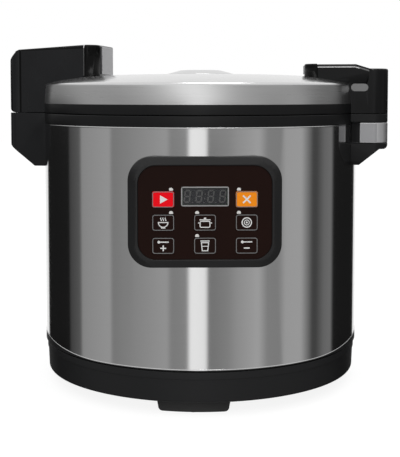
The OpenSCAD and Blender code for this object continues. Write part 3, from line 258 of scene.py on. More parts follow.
def metal(name, colour, rough, streaks, anisotropic=0.0, contrast=0.04, bump=0.02):
    """Brushed or turned metal; streaks is a function from the wiring to streaked coordinates."""
    made, wires, shader = start_material(name)
    lines = wires.noise(streaks(wires), scale=1.0, detail=3.0, rough=0.6)
    cloud = wires.noise(wires.place(), scale=9.0)
    tone = wires.blend(lines, scaled(colour, 1 - contrast), scaled(colour, 1 + contrast))
    wires.put(shader["Base Color"], wires.blend(cloud, tone, colour))
    wires.put(shader["Metallic"], 1.0)
    wires.put(shader["Roughness"], wires.spread(lines, rough * 0.9, rough * 1.1, NOISE_LOW, NOISE_HIGH))
    wires.put(shader["Normal"], wires.bump(lines, bump, GRAIN_DEPTH))
    if anisotropic:
        wires.put(shader["Anisotropic"], anisotropic)
        wires.put(shader["Anisotropic Rotation"], 0.25)
        tangent = wires.add("ShaderNodeTangent", direction_type="RADIAL", axis="Z")
        wires.put(shader["Tangent"], tangent.outputs[0])
    return made


def moulded(name, colour, rough, grain=2200.0, bump=0.12, specular=0.5, coat=0.0, variation=0.18):
    """Moulded plastic or rubber with a fine surface grain and slightly uneven gloss."""
    made, wires, shader = start_material(name)
    fine = wires.noise(wires.place(), grain, rough=0.55)
    cloud = wires.noise(wires.place(), scale=22.0, detail=3.0)
    wires.put(
        shader["Base Color"],
        wires.blend(cloud, scaled(colour, 1 - variation), scaled(colour, 1 + variation)),
    )
    wires.put(shader["Roughness"], wires.spread(cloud, rough - 0.05, rough + 0.06, NOISE_LOW, NOISE_HIGH))
    wires.put(shader["Specular IOR Level"], specular)
    wires.put(shader["Normal"], wires.bump(fine, bump, GRAIN_DEPTH))
    if coat:
        wires.put(shader["Coat Weight"], coat)
        wires.put(shader["Coat Roughness"], COAT_ROUGH)
    return made


def fibrous(name, colour):
    """Mineral wool: loose fibres with a soft matte look."""
    made, wires, shader = start_material(name)
    fibres = wires.noise(wires.streaked((160.0, 160.0, 900.0)), scale=1.0, detail=6.0, rough=0.7)
    tufts = wires.noise(wires.place(), scale=60.0, detail=4.0)
    tone = wires.blend(fibres, scaled(colour, 0.6), scaled(colour, 1.2))
    wires.put(shader["Base Color"], wires.blend(tufts, tone, colour))
    wires.put(shader["Roughness"], wires.spread(tufts, 0.85, 1.0))
    wires.put(shader["Normal"], wires.bump(fibres, strength=0.6, distance=0.002))
    return made


def tinted_window(name, colour, clear):
    """Tinted sheet that lets a share of the light through."""
    made, wires, shader = start_material(name)
    haze = wires.noise(wires.place(), scale=300.0)
    wires.put(shader["Base Color"], wires.blend(haze, scaled(colour, 0.8), scaled(colour, 1.2)))
    wires.put(shader["Roughness"], wires.spread(haze, 0.06, 0.12))
    wires.put(shader["Alpha"], 1.0 - clear)
    return made


def circuit(name, colour):
    """Solder mask with faint copper tracks under it."""
    made, wires, shader = start_material(name)
    tracks = wires.add("ShaderNodeTexBrick", offset=0.35)
    wires.put(tracks.inputs["Vector"], wires.streaked((90.0, 90.0, 90.0)))
    wires.put(tracks.inputs["Color1"], colour)
    wires.put(tracks.inputs["Color2"], scaled(colour, 0.8))
    wires.put(tracks.inputs["Mortar"], scaled(colour, 1.8))
    wires.put(tracks.inputs["Mortar Size"], 0.06)
    wires.put(shader["Base Color"], tracks.outputs["Color"])
    wires.put(shader["Roughness"], wires.spread(wires.noise(wires.place(), scale=40.0), 0.3, 0.45))
    return made


def round_streaks(wires):
    return wires.turned(slow=10.0, fast=900.0)


def wide_round_streaks(wires):
    return wires.turned(slow=6.0, fast=350.0)


def long_streaks(wires):
    return wires.streaked((60.0, 60.0, 1400.0))


def plating(name, colour, rough=0.42):
    """Even plating with faint long streaks."""
    return metal(name, colour, rough, long_streaks, contrast=0.02, bump=0.004)


FILM_GRAIN = 3000.0


def film(name, colour, variation=0.18):
    """Satin film on the key panel."""
    return moulded(name, colour, 0.42, grain=FILM_GRAIN, bump=0.05, specular=0.05, variation=variation)


def ink(name, colour, variation):
    """Print on the key panel and its display."""
    return moulded(name, colour, 0.5, grain=FILM_GRAIN, bump=0.04, variation=variation)


STEEL = metal("brushed_steel", grey(0.60), 0.105, round_streaks, anisotropic=0.5)
LID_STEEL = metal("spun_lid_steel", grey(0.62), 0.3, round_streaks, anisotropic=0.3)
LID_TOP_STEEL = metal("polished_lid_steel", grey(0.62), 0.2, round_streaks, anisotropic=0.3)
PLAIN_STEEL = metal("plain_sheet", grey(0.58), 0.28, wide_round_streaks)
SILVER = plating("satin_plating", (0.46, 0.46, 0.47, 1), rough=0.3)
LATCH_SILVER = plating("satin_latch_plating", (0.60, 0.60, 0.61, 1))
# Darker copy of the latch plating: painted shade on the button's flat sides, so that its rounded edges stand
# out bright
LATCH_SIDE_SHADE = plating("latch_side_painted_shade", (0.37, 0.37, 0.38, 1))
# Dull plating for the strip that stands in for the highlight on the hinge arm's cap joint: painted highlight
JOINT_HIGHLIGHT_SILVER = plating("dull_joint_highlight_plating", grey(0.12))
ALUMINIUM = metal("spun_aluminium", (0.60, 0.60, 0.61, 1), 0.42, wide_round_streaks, anisotropic=0.4)
CAST = metal("cast_aluminium", (0.55, 0.55, 0.56, 1), 0.5, long_streaks, bump=0.2)
FOIL = metal("foil_plate", grey(0.72), 0.3, long_streaks)
ZINC = metal("zinc_plating", (0.55, 0.56, 0.57, 1), 0.32, long_streaks)
BRASS = metal("brass", (0.72, 0.52, 0.22, 1), 0.3, long_streaks)
BLACK = moulded("black_plastic", (0.0045, 0.0046, 0.005, 1), 0.38, specular=0.25)
ARM_BLACK = moulded("arm_plastic", (0.0046, 0.0049, 0.0058, 1), 0.24, bump=0.06, specular=0.3)
EDGE_BLACK = moulded("polished_edge_plastic", grey(0.004), 0.12, bump=0.0, specular=1.0, coat=1.0)
HANDLE_BLACK = moulded("handle_plastic", (0.0030, 0.0031, 0.0034, 1), 0.3, bump=0.06, specular=0.2)
GLOSS_BLACK = moulded("end_cap_plastic", grey(0.003), 0.16, bump=0.02, specular=0.12)
# Darker, duller copy of the arm plastic: painted shade in the arm's groove and on the faces near its top that
# look up
PAINTED_SHADE_BLACK = moulded("arm_painted_shade_plastic", grey(0.003), 0.22, bump=0.02, specular=0.08)
BEZEL_BLACK = moulded("bezel_plastic", (0.0042, 0.0042, 0.0045, 1), 0.34, specular=0.36)
BASE_BLACK = moulded("base_plastic", (0.009, 0.0092, 0.0098, 1), 0.5, specular=0.3)
RUBBER = moulded("foot_rubber", grey(0.016), 0.6, grain=1400.0, bump=0.25)
SILICONE = moulded("silicone", (0.72, 0.70, 0.65, 1), 0.42, bump=0.05, variation=0.04)
CERAMIC = moulded("glazed_ceramic", (0.82, 0.80, 0.75, 1), 0.25, bump=0.04, variation=0.05)
PARTS = moulded("moulded_parts", (0.03, 0.035, 0.05, 1), 0.35)
FILM = film("panel_film", (0.0135, 0.0058, 0.0045, 1))
RED = film("red_film", (0.90, 0.006, 0.014, 1), variation=0.03)
ORANGE = film("orange_film", (0.95, 0.285, 0.014, 1), variation=0.03)
PRINT = ink("white_print", (0.78, 0.78, 0.77, 1), variation=0.03)
GREY_PRINT = ink("grey_print", grey(0.17), variation=0.06)
SEGMENT_GREY = ink("display_segment", (0.42, 0.42, 0.41, 1), variation=0.04)
PALE = moulded("pale_grey_plastic", grey(0.30), 0.42, variation=0.05)
INLAY = moulded("inlay_plastic", grey(0.17), 0.45, variation=0.05)
LENS = moulded("milky_lens", (0.72, 0.71, 0.69, 1), 0.25, bump=0.03, variation=0.03)
WINDOW = tinted_window("display_glass", (0.012, 0.012, 0.013, 1), clear=0.6)
WOOL = fibrous("mineral_wool", (0.62, 0.56, 0.38, 1))
BOARD = circuit("solder_mask", (0.02, 0.12, 0.05, 1))

# Nodes by finish; those not named here are BLACK
FINISHES = {}
for finish, names in (
    (STEEL, "outer_shell"),
    (LID_STEEL, "lid_cover vent_cap"),
    (PLAIN_STEEL, "bottom_cover inner_liner lid_inner_panel sensor_holder hinge_pin latch_hook latch_strike"),
    (ALUMINIUM, "inner_pot"),
    (CAST, "heating_plate plate_supports thermal_sensor"),
    (ZINC, "base_screws panel_screws bracket_screws arm_screws sensor_spring latch_springs"),
    (BRASS, "heater_terminals inlet_pins"),
    (FOIL, "data_plate"),
    (SILVER, "arm_end_plates"),
    (LATCH_SILVER, "latch_button"),
    (GLOSS_BLACK, "arm_end_caps"),
    (BEZEL_BLACK, "control_bezel"),
    (RUBBER, "feet"),
    (SILICONE, "lid_gasket warming_band"),
    (WOOL, "insulation_wrap lid_insulation"),
    (CERAMIC, "thermal_fuse"),
    (BOARD, "power_board control_board"),
    (PARTS, "power_parts display_module tact_switches"),
    (FILM, "panel_face key_one key_two key_three key_four key_plus key_minus"),
    (RED, "key_start"),
    (ORANGE, "key_cancel"),
    (PALE, "display_frame"),
    (WINDOW, "display_window"),
    (LENS, "indicator_lenses"),
    (INLAY, "handle_inlay"),
):
    FINISHES.update(dict.fromkeys(names.split(), finish))


def dress_nodes():
    """Gives every CAD node its finish."""
    for name, obj in NODES.items():
        obj.data.materials.clear()
        obj.data.materials.append(FINISHES.get(name, BLACK))


def add_piece(name, mesh, finish, body, stands_for=()):
    """Puts a finished mesh into the scene as a piece that rides on a body."""
    obj = into_scene(name, mesh)
    mesh.materials.append(finish)
    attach(obj, body)
    if stands_for:
        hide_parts(*stands_for)
    return obj


def second_finish(obj, finish, test):
    """Gives another finish to the faces that a test of their middle in millimetres and their normal picks."""
    obj.data.materials.append(finish)
    index = len(obj.data.materials) - 1
    for face in obj.data.polygons:
        if test(face.center / MM, face.normal):
            face.material_index = index


def close_mesh(shape, name, sharp=40.0):
    """Turns a bmesh into a mesh with outward faces, smooth except at sharp edges."""
    bmesh.ops.recalc_face_normals(shape, faces=shape.faces)
    mesh = bpy.data.meshes.new(name)
    shape.to_mesh(mesh)
    shape.free()
    mesh.shade_smooth()
    mesh.set_sharp_from_angle(angle=math.radians(sharp))
    return mesh


def rounded(corners, steps=6):
    """Outline from (radius, height, rounding) corners in millimetres, with the roundings worked out."""
    points = []
    for i, (radius, height, rounding) in enumerate(corners):
        here = Vector((radius, height))
        if not rounding:
            points.append(tuple(here))
            continue
        back = (Vector(corners[i - 1][:2]) - here).normalized()
        ahead = (Vector(corners[(i + 1) % len(corners)][:2]) - here).normalized()
        half = back.angle(ahead) / 2
        centre = here + (back + ahead).normalized() * rounding / math.sin(half)
        reach = rounding / math.tan(half)
        first, last = here + back * reach - centre, here + ahead * reach - centre
        points += [tuple(centre + rounding * first.slerp(last, k / steps)) for k in range(steps + 1)]
    return points


def turned_mesh(name, points, segments=SEGMENTS, sharp=40.0, lift=None):
    """Solid turned about the Z axis from a closed outline of (radius, height) points in millimetres.

    lift is a function from a height and an angle to how much higher that point lies.
    """
    shape = bmesh.new()
    angles = [2 * math.pi * k / segments for k in range(segments)]
    rows = []
    for radius, height in points:
        rows.append([
            shape.verts.new((
                radius * math.cos(a) * MM,
                radius * math.sin(a) * MM,
                (height + (lift(height, a) if lift else 0)) * MM,
            ))
            for a in (angles if radius > 0 else angles[:1])
        ])
    for low, high in zip(rows, rows[1:] + rows[:1]):
        for k in range(segments if len(low) + len(high) > 2 else 0):
            n = (k + 1) % segments
            corners = [low[k % len(low)], low[n % len(low)], high[n % len(high)], high[k % len(high)]]
            shape.faces.new(list(dict.fromkeys(corners)))
    return close_mesh(shape, name, sharp)


def arc(centre, radius, start, end, steps):
    """Points on an arc, angles in degrees."""
    turns = [math.radians(start + (end - start) * k / steps) for k in range(steps + 1)]
    return [(centre[0] + radius * math.cos(a), centre[1] + radius * math.sin(a)) for a in turns]


def circle(centre, radius, count):
    """Evenly spaced points round a circle."""
    return arc(centre, radius, 0, 360 - 360 / count, count - 1)


def arm_axes(side):
    """Directions outward along and sideways across the hinge (-1) or latch (1) line."""
    turn = math.radians(ARM_TURN)
    along = Vector((side * math.cos(turn), -side * math.sin(turn), 0))
    across = Vector((math.sin(turn), math.cos(turn), 0))
    return along, across


def along_arm(point, side):
    """A point in metres as (outward, sideways, height) in millimetres of the hinge (-1) or latch (1) line."""
    along, across = arm_axes(side)
    return along.dot(point) / MM, across.dot(point) / MM, point.z / MM


# Points of the CAD mesh nearer than this, in metres, are one point. Faces that turn by less than FLAT_TURN
# degrees are one face, edges that turn by more than the next two are rounded, by more than the last two sharp
WELD_GAP = 2e-6
FLAT_TURN = 0.4
COPY_EDGE_TURN, NODE_EDGE_TURN = 25.0, 35.0
CRISP_TURN, NO_EDGE_TURN = 30.0, 180.0


def even_shading(obj):
    """Lets the large faces set the shading, so that narrow roundings run into them smoothly."""
    even = obj.modifiers.new("even_normals", "WEIGHTED_NORMAL")
    even.weight = 100
    even.keep_sharp = False


def rounded_copy(name, rules, finish, side=1, segments=4, crisp=False, after=None):
    """New piece with a node's shape and rounded edges.

    A rule is a width in millimetres and a test of an edge's middle; after is a function that cuts the shape.
    """
    shape = bmesh.new()
    shape.from_mesh(NODES[name].data)
    bmesh.ops.remove_doubles(shape, verts=shape.verts, dist=WELD_GAP)
    bmesh.ops.dissolve_limit(
        shape, angle_limit=math.radians(FLAT_TURN), verts=shape.verts, edges=shape.edges,
    )
    for width, test in rules:
        chosen = [
            edge for edge in shape.edges
            if len(edge.link_faces) == 2
            and edge.calc_face_angle() > math.radians(COPY_EDGE_TURN)
            and test(*along_arm((edge.verts[0].co + edge.verts[1].co) / 2, side))
        ]
        bmesh.ops.bevel(
            shape, geom=chosen, offset=width * MM, offset_type="OFFSET", segments=segments, profile=0.5,
            affect="EDGES", clamp_overlap=False,
        )
    if after:
        after(shape)
    mesh = close_mesh(shape, name + "_rounded", CRISP_TURN if crisp else NO_EDGE_TURN)
    obj = add_piece(name + "_rounded", mesh, finish, NODES[name]["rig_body"], (name,))
    if not crisp:
        even_shading(obj)
    return obj


def soften(name, width):
    """Rounds all of a node's sharp edges by a width in millimetres and evens out its shading."""
    obj = NODES[name]
    normals = obj.data.attributes.get("custom_normal")
    if normals:
        obj.data.attributes.remove(normals)
    obj.data.shade_smooth()
    weld = obj.modifiers.new("weld", "WELD")
    weld.merge_threshold = WELD_GAP
    flat = obj.modifiers.new("merge_flat_faces", "DECIMATE")
    flat.decimate_type = "DISSOLVE"
    flat.angle_limit = math.radians(FLAT_TURN)
    edge = obj.modifiers.new("rounded_edges", "BEVEL")
    edge.width = width * MM
    edge.segments = 2
    edge.limit_method = "ANGLE"
    edge.angle_limit = math.radians(NODE_EDGE_TURN)
    edge.use_clamp_overlap = False
    even_shading(obj)


SKIRT_STEPS, SHOULDER_STEPS, DOME_STEPS = 8, 16, 48


def lid_outline(inset):
    """Outside of the lid from its lower edge to the vent hole, taken in by an inset."""
    dome_c = BODY_R - LID_DRAFT - SHOULDER_R
    dome_r = dome_c + SHOULDER_R * math.cos(math.radians(SHOULDER_TURN))
    top = Z_SHOULDER + SHOULDER_R * math.sin(math.radians(SHOULDER_TURN)) + DOME_H
    hole = TUBE_R + FIT
    skirt = []
    for k in range(SKIRT_STEPS):
        rise = k / SKIRT_STEPS
        skirt.append((BODY_R - LID_DRAFT * rise ** SKIRT_POWER - inset, Z_SKIRT + LID_SKIRT_H * rise))
    lean = math.degrees(math.atan(LID_DRAFT * SKIRT_POWER / LID_SKIRT_H))
    shoulder = arc((dome_c, Z_SHOULDER), SHOULDER_R - inset, lean, SHOULDER_TURN, SHOULDER_STEPS)
    dome = []
    for k in range(1, DOME_STEPS + 1):
        r = dome_r + (hole - dome_r) * k / DOME_STEPS
        dome.append((r, top - DOME_H * (r / dome_r) ** DOME_POWER - inset))
    return skirt + shoulder + dome


def add_turned(name, points, finish, body, slot, stands_for=(), **shape):
    """New piece turned about the Z axis; shape goes on to turned_mesh."""
    return add_piece(name, turned_mesh(name, points, **shape), finish, body, stands_for)


# The lid above this level is polished
POLISHED_FROM = Z_SHOULDER + 2.5


def make_rims():
    """Spun lid cover and the two black rings that meet at the seam."""
    lid = lid_outline(0.0) + lid_outline(SHEET_T)[::-1]
    cover = add_turned("lid_cover_spun", lid, LID_STEEL, "lid", "steel", ("lid_cover",))
    second_finish(cover, LID_TOP_STEEL, lambda place, normal: place.z > POLISHED_FROM)
    seat, under, lip_low = POT_R + POT_CLEAR, Z_RING - RING_FLOOR_DROP, Z_RING - RING_LIP_H
    lip = BODY_R - SHEET_T - FIT
    lip_in = lip - RING_LIP_T
    body_ring = rounded([
        (BODY_R, Z_RING, 0.6), (BODY_R, Z_SEAM, 1.2), (RING_IN_R, Z_SEAM, 0.8), (RING_IN_R, Z_LEDGE, 0.3),
        (seat, Z_LEDGE, 0.8), (seat, under, 0.5), (lip_in, under, 0.3), (lip_in, lip_low, 0.4),
        (lip, lip_low, 0.4), (lip, Z_RING, 0),
    ])
    add_turned("body_rim_turned", body_ring, BLACK, "root", "black_plastic", ("body_rim_ring",))
    top, lip_top = Z_SKIRT - FIT, Z_SKIRT + RING_LIP_H
    lip = BODY_R - LID_DRAFT - SHEET_T - FIT
    lip_in = lip - RING_LIP_T
    lid_ring = rounded([
        (BODY_R, Z_LID, 1.2), (BODY_R, top, 0.5), (lip, top, 0), (lip, lip_top, 0.4), (lip_in, lip_top, 0.4),
        (lip_in, Z_INNER_FLANGE, 0.3), (RING_IN_R, Z_INNER_FLANGE, 0.5), (RING_IN_R, Z_LID, 0.8),
    ])
    add_turned("lid_rim_turned", lid_ring, BLACK, "lid", "black_plastic", ("lid_rim_ring",))


# The steel's lower hem rises at the sides, from this many degrees off the front or back
HEM_RISE, HEM_RISE_FROM = 10.0, 38.0
HEM_R, HEM_BEAD_R, HEM_BEAD_POINTS = BODY_R - 0.4, 0.8, 24
HEM_LOW_Z, HEM_HIGH_Z = Z_SHELL + 0.81, Z_RING - 1.1
LIP_R, LIP_TOP_Z = BODY_R + 0.3, Z_SHELL + 0.6


def hem_lift(height, angle):
    """How much higher the steel's lower hem lies at the sides than in front and behind."""
    turn = math.degrees(math.asin(abs(math.cos(angle))))
    share = max(0.0, turn - HEM_RISE_FROM) / (90.0 - HEM_RISE_FROM)
    return HEM_RISE * share * share * (3 - 2 * share) if height > Z_SHELL else 0.0


def make_base():
    """Base housing, the lip that covers the steel up to its hem, and the beads along both hems."""
    floor, band, reveal = Z_BASE + BASE_FLOOR_T, Z_BASE_TOP - BASE_BAND_H, BASE_R - REVEAL_DEPTH
    cover, cover_z = COVER_R + FIT, floor - COVER_LIP_T
    collar, collar_z, inside = BODY_R - SHEET_T - FIT, Z_SHELL + COLLAR_H, BASE_FOOT_R - BASE_WALL
    base = rounded([
        (FLOOR_IN_R, floor, 0), (FLOOR_IN_R, cover_z, 0), (cover, cover_z, 0), (cover, Z_BASE, 0.4),
        (BASE_FOOT_R, Z_BASE, BASE_FILLET), (BASE_R - BASE_BAND_STEP, band, 0.5), (BASE_R, band, 0.3),
        (BASE_R, Z_BASE_TOP, 0.8), (reveal, Z_BASE_TOP, 0.3), (reveal, Z_SHELL, 0), (collar, Z_SHELL, 0.3),
        (collar, collar_z, 0.5), (inside, collar_z, 0.5), (inside, floor, 0),
    ])
    add_turned("base_turned", base, BASE_BLACK, "root", "black_plastic", ("base_housing",))
    lip = [(HEM_R, Z_SHELL), (LIP_R, Z_SHELL), (LIP_R, LIP_TOP_Z), (HEM_R, LIP_TOP_Z)]
    add_turned("base_lip", lip, BASE_BLACK, "root", "black_plastic", lift=hem_lift)
    for name, height, lift in (("shell_hem_low", HEM_LOW_Z, hem_lift), ("shell_hem_high", HEM_HIGH_Z, None)):
        bead = circle((HEM_R, height), HEM_BEAD_R, HEM_BEAD_POINTS)
        add_turned(name, bead, STEEL, "root", "steel", lift=lift)


# Pressed beads of the lid's inner panel: their radii, their section, and the bend at the panel's edge
PANEL_BEADS = (52, 104, 140)
BEAD_SECTION = ((-6, 0), (-4.5, -0.3), (-2.5, -1.1), (0, -1.45), (2.5, -1.1), (4.5, -0.3), (6, 0))
PANEL_BEND = ((-1.6, 0), (-0.3, 0.45), (0, 1.75))


def make_inside():
    """Pot, lid inner panel and gasket, which show when the lid is open."""
    rim, inside, floor = POT_R + POT_RIM_W, POT_R - POT_T, Z_POT + POT_T
    pot = rounded([
        (0, Z_POT, 0), (POT_R, Z_POT, POT_CORNER), (POT_R, Z_LEDGE, 0.8), (rim, Z_LEDGE, 1.3),
        (rim, Z_POT_RIM, 1.3), (inside, Z_POT_RIM, 2.5), (inside, floor, POT_CORNER - POT_T), (0, floor, 0),
    ], steps=10)
    add_turned("pot_spun", pot, ALUMINIUM, "root", "aluminium", ("inner_pot",), segments=INNER_SEGMENTS)
    low, high = Z_INNER_PANEL, Z_INNER_PANEL + SHEET_T
    flange, flange_top, flange_r = Z_INNER_FLANGE, Z_INNER_FLANGE + SHEET_T, RING_IN_R + INNER_FLANGE_W
    edge = RING_IN_R - 3 * SLIP
    panel = [(INNER_HOLE_R, high), (INNER_HOLE_R, low)]
    panel += [(middle + r, low + z) for middle in PANEL_BEADS for r, z in BEAD_SECTION]
    panel += [(edge + r, low + z) for r, z in PANEL_BEND]
    panel += [(edge, flange), (flange_r, flange), (flange_r, flange_top)]
    panel += [(edge - SHEET_T, flange_top), (edge - SHEET_T, high)]
    panel += [(middle + r, high + z) for middle in PANEL_BEADS[::-1] for r, z in BEAD_SECTION[::-1]]
    add_turned(
        "lid_panel_pressed", panel, PLAIN_STEEL, "lid", "inner_steel", ("lid_inner_panel",),
        segments=INNER_SEGMENTS, sharp=50.0,
    )
    outside, lowest = POT_R + GASKET_W, Z_POT_RIM + SLIP
    gasket = rounded([
        (POT_R, low, 0.2), (POT_R, lowest, 1.0), (outside, lowest, 1.0), (outside, low, 0.2),
    ])
    add_turned(
        "lid_gasket_lip", gasket, SILICONE, "lid", "silicone", ("lid_gasket",), segments=INNER_SEGMENTS,
    )


# A line's corner reaches out no further than its width over this
LEAST_MITRE = 0.3
BOX_STEPS = 5


class Relief:
    """Flat raised shapes on the key panel, drawn in millimetres from a middle point."""

    def __init__(self, x, z, low, high):
        self.x, self.z, self.low, self.high = x, z, low, high
        self.shape = bmesh.new()

    def ring(self, points, depth):
        """Corners of an outline at a depth from the axis."""
        return [
            self.shape.verts.new(((self.x + x) * MM, -depth * MM, (PANEL_Z + self.z + z) * MM))
            for x, z in points
        ]

    def prism(self, points):
        """Filled outline."""
        top, bottom = self.ring(points, self.high), self.ring(points, self.low)
        self.shape.faces.new(top)
        self.shape.faces.new(bottom[::-1])
        self.wall(top, bottom)

    def wall(self, top, bottom):
        """Faces between two rings."""
        for k in range(len(top)):
            self.shape.faces.new([top[k - 1], top[k], bottom[k], bottom[k - 1]])

    def loop(self, outer, inner):
        """Closed band between two outlines with the same number of points."""
        rings = [self.ring(points, depth) for depth in (self.high, self.low) for points in (outer, inner)]
        for a, b in ((0, 1), (2, 3), (0, 2), (1, 3)):
            self.wall(rings[a], rings[b])

    def stroke(self, points, width, closed=False):
        """Line of even width along points."""
        spots = [Vector(p) for p in points]
        sides = ([], [])
        for k, spot in enumerate(spots):
            before = spots[k - 1] if closed or k else None
            after = spots[(k + 1) % len(spots)] if closed or k + 1 < len(spots) else None
            pairs = [(a, b) for a, b in ((before, spot), (spot, after)) if a is not None and b is not None]
            ways = [(b - a).normalized() for a, b in pairs]
            normals = [Vector((-w.y, w.x)) for w in ways]
            middle = sum(normals, Vector((0, 0))).normalized()
            reach = width / 2 / max(LEAST_MITRE, middle.dot(normals[0]))
            sides[0].append(tuple(spot + middle * reach))
            sides[1].append(tuple(spot - middle * reach))
        if closed:
            self.loop(*sides)
        else:
            self.prism(sides[0] + sides[1][::-1])

    def finish(self, name, finish, body, slot):
        add_piece(name, close_mesh(self.shape, name), finish, body)


def rounded_box(width, height, radius):
    """Outline of a box with round corners about the origin."""
    x, z = width / 2 - radius, height / 2 - radius
    points = []
    for cx, cz, start in ((x, z, 0), (-x, z, 90), (-x, -z, 180), (x, -z, 270)):
        points += arc((cx, cz), radius, start, start + 90, BOX_STEPS)
    return points


def plus_outline(reach, half, turn=0.0):
    """Outline of a plus sign, turned by degrees."""
    arm = [(half, half), (half, reach), (-half, reach)]
    c, s = math.cos(math.radians(turn)), math.sin(math.radians(turn))
    points = []
    for _ in range(4):
        points += arm
        arm = [(-z, x) for x, z in arm]
    return [(x * c - z * s, x * s + z * c) for x, z in points]


def moved(points, x, z):
    return [(px + x, pz + z) for px, pz in points]


# Widths of the lines in the key signs
BOLD, LINE, FINE = 1.1, 1.0, 0.8


def draw_bowl(sign):
    sign.stroke(arc((0, 0.2), 5.0, 180, 360, 16), LINE, closed=True)
    sign.stroke([(-2.2, -5.6), (2.2, -5.6)], LINE)
    for x in (-2.4, 0.0, 2.4):
        sign.stroke([(x + 0.5 * math.sin(k * 1.1), 1.8 + 0.6 * k) for k in range(7)], FINE)


def draw_pot(sign):
    sign.stroke(moved(rounded_box(10.4, 6.4, 1.4), 0, -1.8), LINE, closed=True)
    sign.stroke([(-5.8, 2.9), (5.8, 2.9)], LINE)
    sign.prism(moved(rounded_box(2.6, 1.6, 0.7), 0, 4.5))
    for side in (-1, 1):
        sign.stroke([(side * 5.9, -0.4), (side * 7.4, -0.4)], LINE)


def draw_roll(sign):
    sign.stroke(circle((0, 0), 5.0, 16), BOLD, closed=True)
    sign.stroke(circle((0, 0), 2.7, 12), FINE, closed=True)
    sign.prism(circle((0, 0), 1.1, 8))


def draw_cup(sign):
    sign.stroke([(-3.8, 3.2), (-2.9, -5.4), (2.9, -5.4), (3.8, 3.2)], LINE, closed=True)
    sign.stroke([(-4.8, 5.0), (4.8, 5.0)], BOLD)
    sign.stroke([(-3.0, -0.6), (3.0, -0.6)], FINE)


def draw_gauge(sign, points):
    """Lying thermometer over a plus or minus sign."""
    sign.prism(arc((-4.6, 3.9), 1.5, 24, 336, 14) + [(5.8, 3.3), (5.8, 4.5)])
    sign.prism(moved(points, 0, -2.6))


def draw_start(sign):
    sign.prism([(-3.3, 4.4), (-3.3, -4.4), (4.6, 0)])


def draw_cancel(sign):
    sign.prism(plus_outline(5.6, 0.85, 45.0))


def draw_plus(sign):
    draw_gauge(sign, plus_outline(3.1, 0.65))


def draw_minus(sign):
    draw_gauge(sign, rounded_box(6.2, 1.4, 0.3))


# Keys: column from the middle, row from the top, and the sign
KEYS = {
    "key_start": (-1, 0, draw_start),
    "key_cancel": (1, 0, draw_cancel),
    "key_one": (-1, 1, draw_bowl),
    "key_two": (0, 1, draw_pot),
    "key_three": (1, 1, draw_roll),
    "key_plus": (-1, 2, draw_plus),
    "key_four": (0, 2, draw_cup),
    "key_minus": (1, 2, draw_minus),
}
PRINT_T = 0.12
BORDER_INSET, BORDER_W = 1.1, 0.8


def make_key_prints():
    """Raised sign and outline on each key."""
    for key, (column, row, draw) in KEYS.items():
        x, z = column * KEY_STEP_X, KEY_TOP_Z - row * KEY_STEP_Z
        sign = Relief(x, z, D_KEY - PRINT_T, D_KEY + PRINT_T)
        draw(sign)
        sign.finish(key + "_sign", PRINT, key, "pale_grey")
        border = Relief(x, z, D_KEY - PRINT_T, D_KEY + PRINT_T)
        outline = rounded_box(KEY_W - BORDER_INSET, KEY_H - BORDER_INSET, KEY_CORNER)
        border.stroke(outline, BORDER_W, closed=True)
        border.finish(key + "_border", GREY_PRINT, key, "pale_grey")


DIGITS, DIGIT_W, DIGIT_H, DIGIT_STEP, DIGIT_SLANT = 4, 7.0, 13.6, 12.4, 0.10
SEGMENT_W, SEGMENT_GAP = 1.5, 0.25
SEGMENT_BACK, SEGMENT_FRONT = D_MODULE - 0.02, D_MODULE + 0.08
DOT_R, DOT_OUT, DOT_DROP = 0.75, 1.6, 0.4
COLON_HALF, COLON_SHIFT = 2.4, 0.1


def segment(start, end):
    """Six-sided outline of one display segment."""
    a, b = Vector(start), Vector(end)
    way = (b - a).normalized()
    a, b = a + way * SEGMENT_GAP, b - way * SEGMENT_GAP
    side, tip = Vector((-way.y, way.x)) * SEGMENT_W / 2, way * SEGMENT_W / 2
    return [a, a + tip + side, b - tip + side, b, b - tip - side, a + tip - side]


def make_digits():
    """Unlit segments of the display, just behind its window."""
    face = Relief(0.0, DISPLAY_Z, SEGMENT_BACK, SEGMENT_FRONT)
    w, h = DIGIT_W / 2 - SEGMENT_W / 2, DIGIT_H / 2 - SEGMENT_W / 2
    bars = (
        ((-w, h), (w, h)), ((-w, 0), (w, 0)), ((-w, -h), (w, -h)),
        ((-w, 0), (-w, h)), ((w, 0), (w, h)), ((-w, -h), (-w, 0)), ((w, -h), (w, 0)),
    )
    dot = circle((0, 0), DOT_R, 8)
    for k in range(DIGITS):
        x = (k - (DIGITS - 1) / 2) * DIGIT_STEP
        for bar in bars:
            face.prism([(x + p.x + p.y * DIGIT_SLANT, p.y) for p in segment(*bar)])
        face.prism(moved(dot, x + DIGIT_W / 2 + DOT_OUT, -h - DOT_DROP))
    for z in (-COLON_HALF, COLON_HALF):
        face.prism(moved(dot, z * DIGIT_SLANT - COLON_SHIFT, z))
    face.finish("display_segments", SEGMENT_GREY, "root", "pale_grey")


# Strip where the hinge arm's end cap starts, put there as a painted highlight on the joint's edge: distance
# out, top, lower end, width, thickness, how far it stands proud and the radius of its corners
HINGE_JOINT_U, HINGE_TOP_Z, STRIP_LOW_Z = 135.5, 405.37, Z_SEAM + 45
STRIP_W, STRIP_T, STRIP_PROUD, STRIP_CORNER = 0.9, 0.8, 0.15, 4.0


